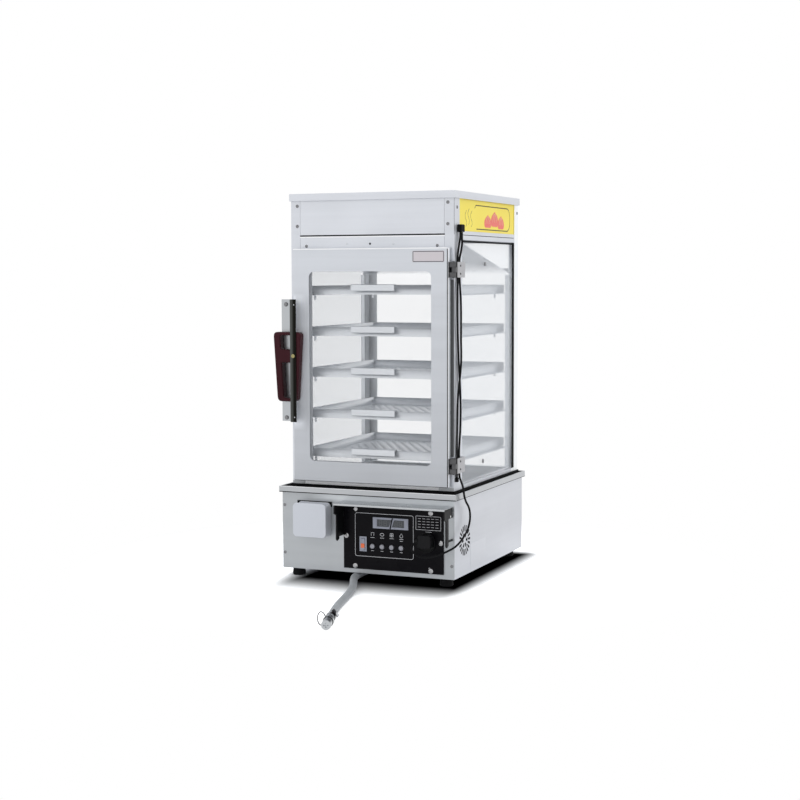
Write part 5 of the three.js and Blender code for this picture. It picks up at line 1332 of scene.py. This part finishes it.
# %% One hexagon with a hole, laid out in rows
HOLE_PITCH, HOLE_RADIUS = 19.6, 4.6
ROW_STEP = HOLE_PITCH * math.sqrt(3) / 2
TRAY_LOW = Vector(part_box("tray_1")[0])
TRAY_BOTTOM = TRAY_LOW.z / MM
TRAY_HALF, TRAY_FRONT, TRAY_BACK = 157.75, -165.0, 185.0
TRAY_DEPTH, TRAY_MIDDLE = TRAY_BACK - TRAY_FRONT, (TRAY_FRONT + TRAY_BACK) / 2
ARRAY_WELD = 0.00001

bpy.ops.mesh.primitive_circle_add(vertices=6, radius=HOLE_PITCH / math.sqrt(3) * MM, location=(0, 0, 0))
tray = bpy.context.object
start_editing(tray, lambda middle, edge: False, "EDGE")
bpy.ops.mesh.primitive_circle_add(vertices=12, radius=HOLE_RADIUS * MM, location=(0, 0, 0))
bpy.ops.mesh.select_all(action="SELECT")
bpy.ops.mesh.bridge_edge_loops()
bpy.ops.mesh.select_all(action="SELECT")
bpy.ops.mesh.duplicate()
bpy.ops.transform.translate(value=(HOLE_PITCH / 2 * MM, ROW_STEP * MM, 0))
finish_editing(tray)
columns = math.ceil(2 * TRAY_HALF / HOLE_PITCH) + 1
rows = math.ceil(TRAY_DEPTH / ROW_STEP / 2) + 1
for count, offset in ((columns, (HOLE_PITCH * MM, 0, 0)), (rows, (0, 2 * ROW_STEP * MM, 0))):
    apply_modifier(
        tray, "ARRAY", count=count, use_relative_offset=False, use_constant_offset=True,
        constant_offset_displace=offset, use_merge_vertices=True, merge_threshold=ARRAY_WELD,
    )
print("hexagons:", 2 * columns * rows, "faces:", len(tray.data.polygons))

# %% [markdown]
# A line a quarter of a step beside a hole's middle clears the holes of both
# kinds of row, so a straight trim never cuts one open.

# %% Trim the field
PLAIN_EDGES = 24
field_width = math.floor((2 * TRAY_HALF - PLAIN_EDGES) / HOLE_PITCH - 0.5) * HOLE_PITCH
field_depth = math.floor((TRAY_DEPTH - PLAIN_EDGES) / ROW_STEP) * ROW_STEP
left_cut, front_cut = 0.75 * HOLE_PITCH, ROW_STEP / 2
start_editing(tray, lambda middle, face: True)
for place, outward in (
    ((left_cut, 0, 0), (-1, 0, 0)), ((left_cut + field_width, 0, 0), (1, 0, 0)),
    ((0, front_cut, 0), (0, -1, 0)), ((0, front_cut + field_depth, 0), (0, 1, 0)),
):
    bpy.ops.mesh.select_all(action="SELECT")
    bpy.ops.mesh.bisect(plane_co=Vector(place) * MM, plane_no=outward, clear_outer=True, threshold=WELD)
finish_editing(tray)
shift_x = -(left_cut + field_width / 2)
shift_y = TRAY_MIDDLE - (front_cut + field_depth / 2)
tray.data.transform(Matrix.Translation(spot(shift_x, shift_y, TRAY_BOTTOM)))
print("field:", round(field_width, 1), "by", round(field_depth, 1), "mm")

# %% [markdown]
# The edges of each side are drawn out to the tray's size in turn, first left
# and right, then front and back, so that the corners close. The outermost
# edges are then folded up as the tray's wall.

# %% Draw the edge out and fold it up
WALL_HEIGHT = 18
ON_THE_LINE = 0.05
middle_x = FOOTPRINT_SHIFT.x
middle_y = FOOTPRINT_SHIFT.y + TRAY_MIDDLE


def extrude(move):
    """Extrudes what is selected by a move in millimetres."""
    bpy.ops.mesh.extrude_region_move(TRANSFORM_OT_translate={"value": Vector(move) * MM})


def draw_out(axis, edge_at, target):
    """Extrudes the edges of one side of the tray outwards to a line."""
    start_editing(
        tray, lambda middle, edge: edge.is_boundary and abs(middle[axis] - edge_at) < ON_THE_LINE, "EDGE",
    )
    move = [0.0, 0.0, 0.0]
    move[axis] = target - edge_at
    extrude(move)
    finish_editing(tray)


for axis, middle, width, full_width in (
    (0, middle_x, field_width, 2 * TRAY_HALF), (1, middle_y, field_depth, TRAY_DEPTH),
):
    for side in (-1, 1):
        draw_out(axis, middle + side * width / 2, middle + side * full_width / 2)
start_editing(tray, lambda middle, edge: edge.is_boundary and (
    abs(abs(middle.x - middle_x) - TRAY_HALF) < ON_THE_LINE
    or abs(abs(middle.y - middle_y) - TRAY_DEPTH / 2) < ON_THE_LINE
), "EDGE")
extrude((0, 0, WALL_HEIGHT))
bpy.ops.mesh.select_all(action="SELECT")
bpy.ops.mesh.remove_doubles(threshold=ARRAY_WELD)
bpy.ops.mesh.normals_make_consistent(inside=False)
finish_editing(tray)
print("tray sheet:", [round(side / MM, 2) for side in tray.dimensions])

# %% [markdown]
# The pull is a strip folded forward, down and back under from the front wall.
# It starts as a plate inside that wall, whose top edge is drawn out seven
# times: four flats with a small slanting step between each two, as a bend.

# %% Give the sheet its thickness and add the pull
TRAY_SHEET, PULL_SHEET = 1.2, 1.0
PULL_WIDTH, PULL_PLATE, PULL_MIDDLE, PULL_TOP = 97, 4, TRAY_BOTTOM + 17, TRAY_BOTTOM + 19
FRONT_WALL = -164.4
normal_up = sum(face.normal.z * face.area for face in tray.data.polygons) > 0
apply_modifier(tray, "SOLIDIFY", thickness=TRAY_SHEET * MM, offset=1 if normal_up else -1)

pull_place = (middle_x * MM, spot(0, FRONT_WALL, 0).y, PULL_MIDDLE * MM)
bpy.ops.mesh.primitive_plane_add(size=MM, location=pull_place, rotation=(math.pi / 2, 0, 0))
pull = bpy.context.object
pull.scale = (PULL_WIDTH, PULL_PLATE, 1)
bpy.ops.object.transform_apply()
start_editing(pull, lambda middle, edge: abs(middle.z - PULL_TOP) < ON_THE_LINE, "EDGE")
for move in (
    (0, 0, 0.7), (0, -0.8, 0.8), (0, -11.4, 0), (0, -0.8, -0.8), (0, 0, -11.4), (0, 0.8, -0.8), (0, 2.6, 0),
):
    extrude(move)
bpy.ops.mesh.select_all(action="SELECT")
bpy.ops.mesh.normals_make_consistent(inside=False)
finish_editing(pull)
apply_modifier(pull, "SOLIDIFY", thickness=PULL_SHEET * MM, offset=0)
break_edges(pull, 0.25, 1)
print("pull:", [round(side / MM, 2) for side in pull.dimensions])

# %% [markdown]
# All five trays are the same pressing. Each gets its own copy of the sheet and
# of the pull, let down or up to where its runners hold it.

# %% Five trays from one
pull_steel = steel_finish("pull_steel", (0.76, 0.78, 0.81), 0.34, 0.10, 0.85, "polished_steel")
for node in (f"tray_{number}" for number in range(1, 6)):
    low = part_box(node)[0]
    for pattern, name, finish in ((tray, "sheet", tray_steel), (pull, "pull", pull_steel)):
        copy = add_object(f"{node}_{name}", pattern.data.copy())
        copy.data.transform(Matrix.Translation((0, 0, low[2] - TRAY_LOW.z)))
        adopt(copy, finish, node)
        if name == "sheet":
            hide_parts(node)
print("faces of a tray sheet:", len(tray.data.polygons))

# %% [markdown]
# ## End of the hose
# The hose ends in a turned coupling with a black O-ring in its groove, a round cap with a cross-shaped
# opening, and a loop of wire from its neck to its mouth. The turned pieces are made standing up and are
# laid along the hose's last stretch. The clamp is coloured near black where its screw crosses the band.

# %% Coupling
fitting = made_part("hose_fitting", bright_steel, edge=0.5)
clamp_steel = Finish("clamp_steel", "polished_steel", (0.60, 0.61, 0.63), 0.3, 1.0)
by_screw = clamp_steel.past("X", 97.5, 98.5) * (1 - clamp_steel.past("X", 107, 108))
clamp_steel.paint(by_screw, (0.60, 0.61, 0.63), (0.05, 0.05, 0.055))
clamp = made_part("hose_clamp", clamp_steel, edge=0.2)
hose_end = hose_line[-1]
heading = (hose_line[-1] - hose_line[-3]).normalized()
along_hose = Vector((0, 0, 1)).rotation_difference(heading).to_matrix().to_4x4()


def lay_on_hose(piece, name, finish, distance):
    """Lays a piece that stands on the ground along the hose, a distance past its end in millimetres."""
    choose(piece)
    bpy.ops.object.transform_apply()
    piece.data.transform(Matrix.Translation(hose_end + heading * distance * MM) @ along_hose)
    piece.name = name
    return adopt(piece, finish)


bpy.ops.mesh.primitive_torus_add(
    major_radius=8.2 * MM, minor_radius=1.7 * MM, major_segments=28, minor_segments=10,
)
o_ring = bpy.context.object
start_editing(o_ring, lambda middle, face: True)
bpy.ops.transform.resize(value=(1, 1, 1.1))
finish_editing(o_ring, 180)
lay_on_hose(o_ring, "hose_o_ring", rubber, 26.2)

cap = domed(add_disc(28, 8.9, 3), (1.2, 1.2), (0.6, 1.6))
cut_cross(cap, 20, 3.5, (9.5, 2.6, 5))
lay_on_hose(cap, "hose_cap", bright_steel, 51.5)
declare_cord(
    hose, hose_line, HOSE_RADIUS,
    far_end="fitting", stiffness="stiff", lay="loose", with_pieces=[fitting, clamp, o_ring, cap],
)
print("coupling made, heading", [round(part, 3) for part in heading])

# %% [markdown]
# The wire leaves the neck on the left, stands up over it, and comes down to
# the mouth in front of the O-ring. It is bent by hand, so its points are
# given by how far past the hose's end, how far aside and how high they are.

# %% The loop of wire
WIRE_RADIUS = 1.1 * MM
to_the_left = heading.cross(Vector((0, 0, 1))).normalized()
wire_points = []
for distance, aside, height in (
    (2, 7.6, 13), (2, 11, 20), (7, 16, 23.5), (15, 19.5, 19), (23, 19, 11), (30, 14, 5), (35, 8.4, 5.5),
):
    place = hose_end + (heading * distance + to_the_left * aside) * MM
    wire_points.append(Vector((place.x, place.y, height * MM)))
wire = as_mesh(swept("coupling_wire", [(smooth_line(wire_points), False)], WIRE_RADIUS, sides=2))
adopt(wire, screw_steel)
print("wire:", len(wire_points), "points")

# %% [markdown]
# ## Last step
# The patterns that everything was copied from go.

# %% Remove the patterns
for pattern in (screw_pattern, dome_pattern, bolt_pattern, tray, pull):
    bpy.data.objects.remove(pattern)
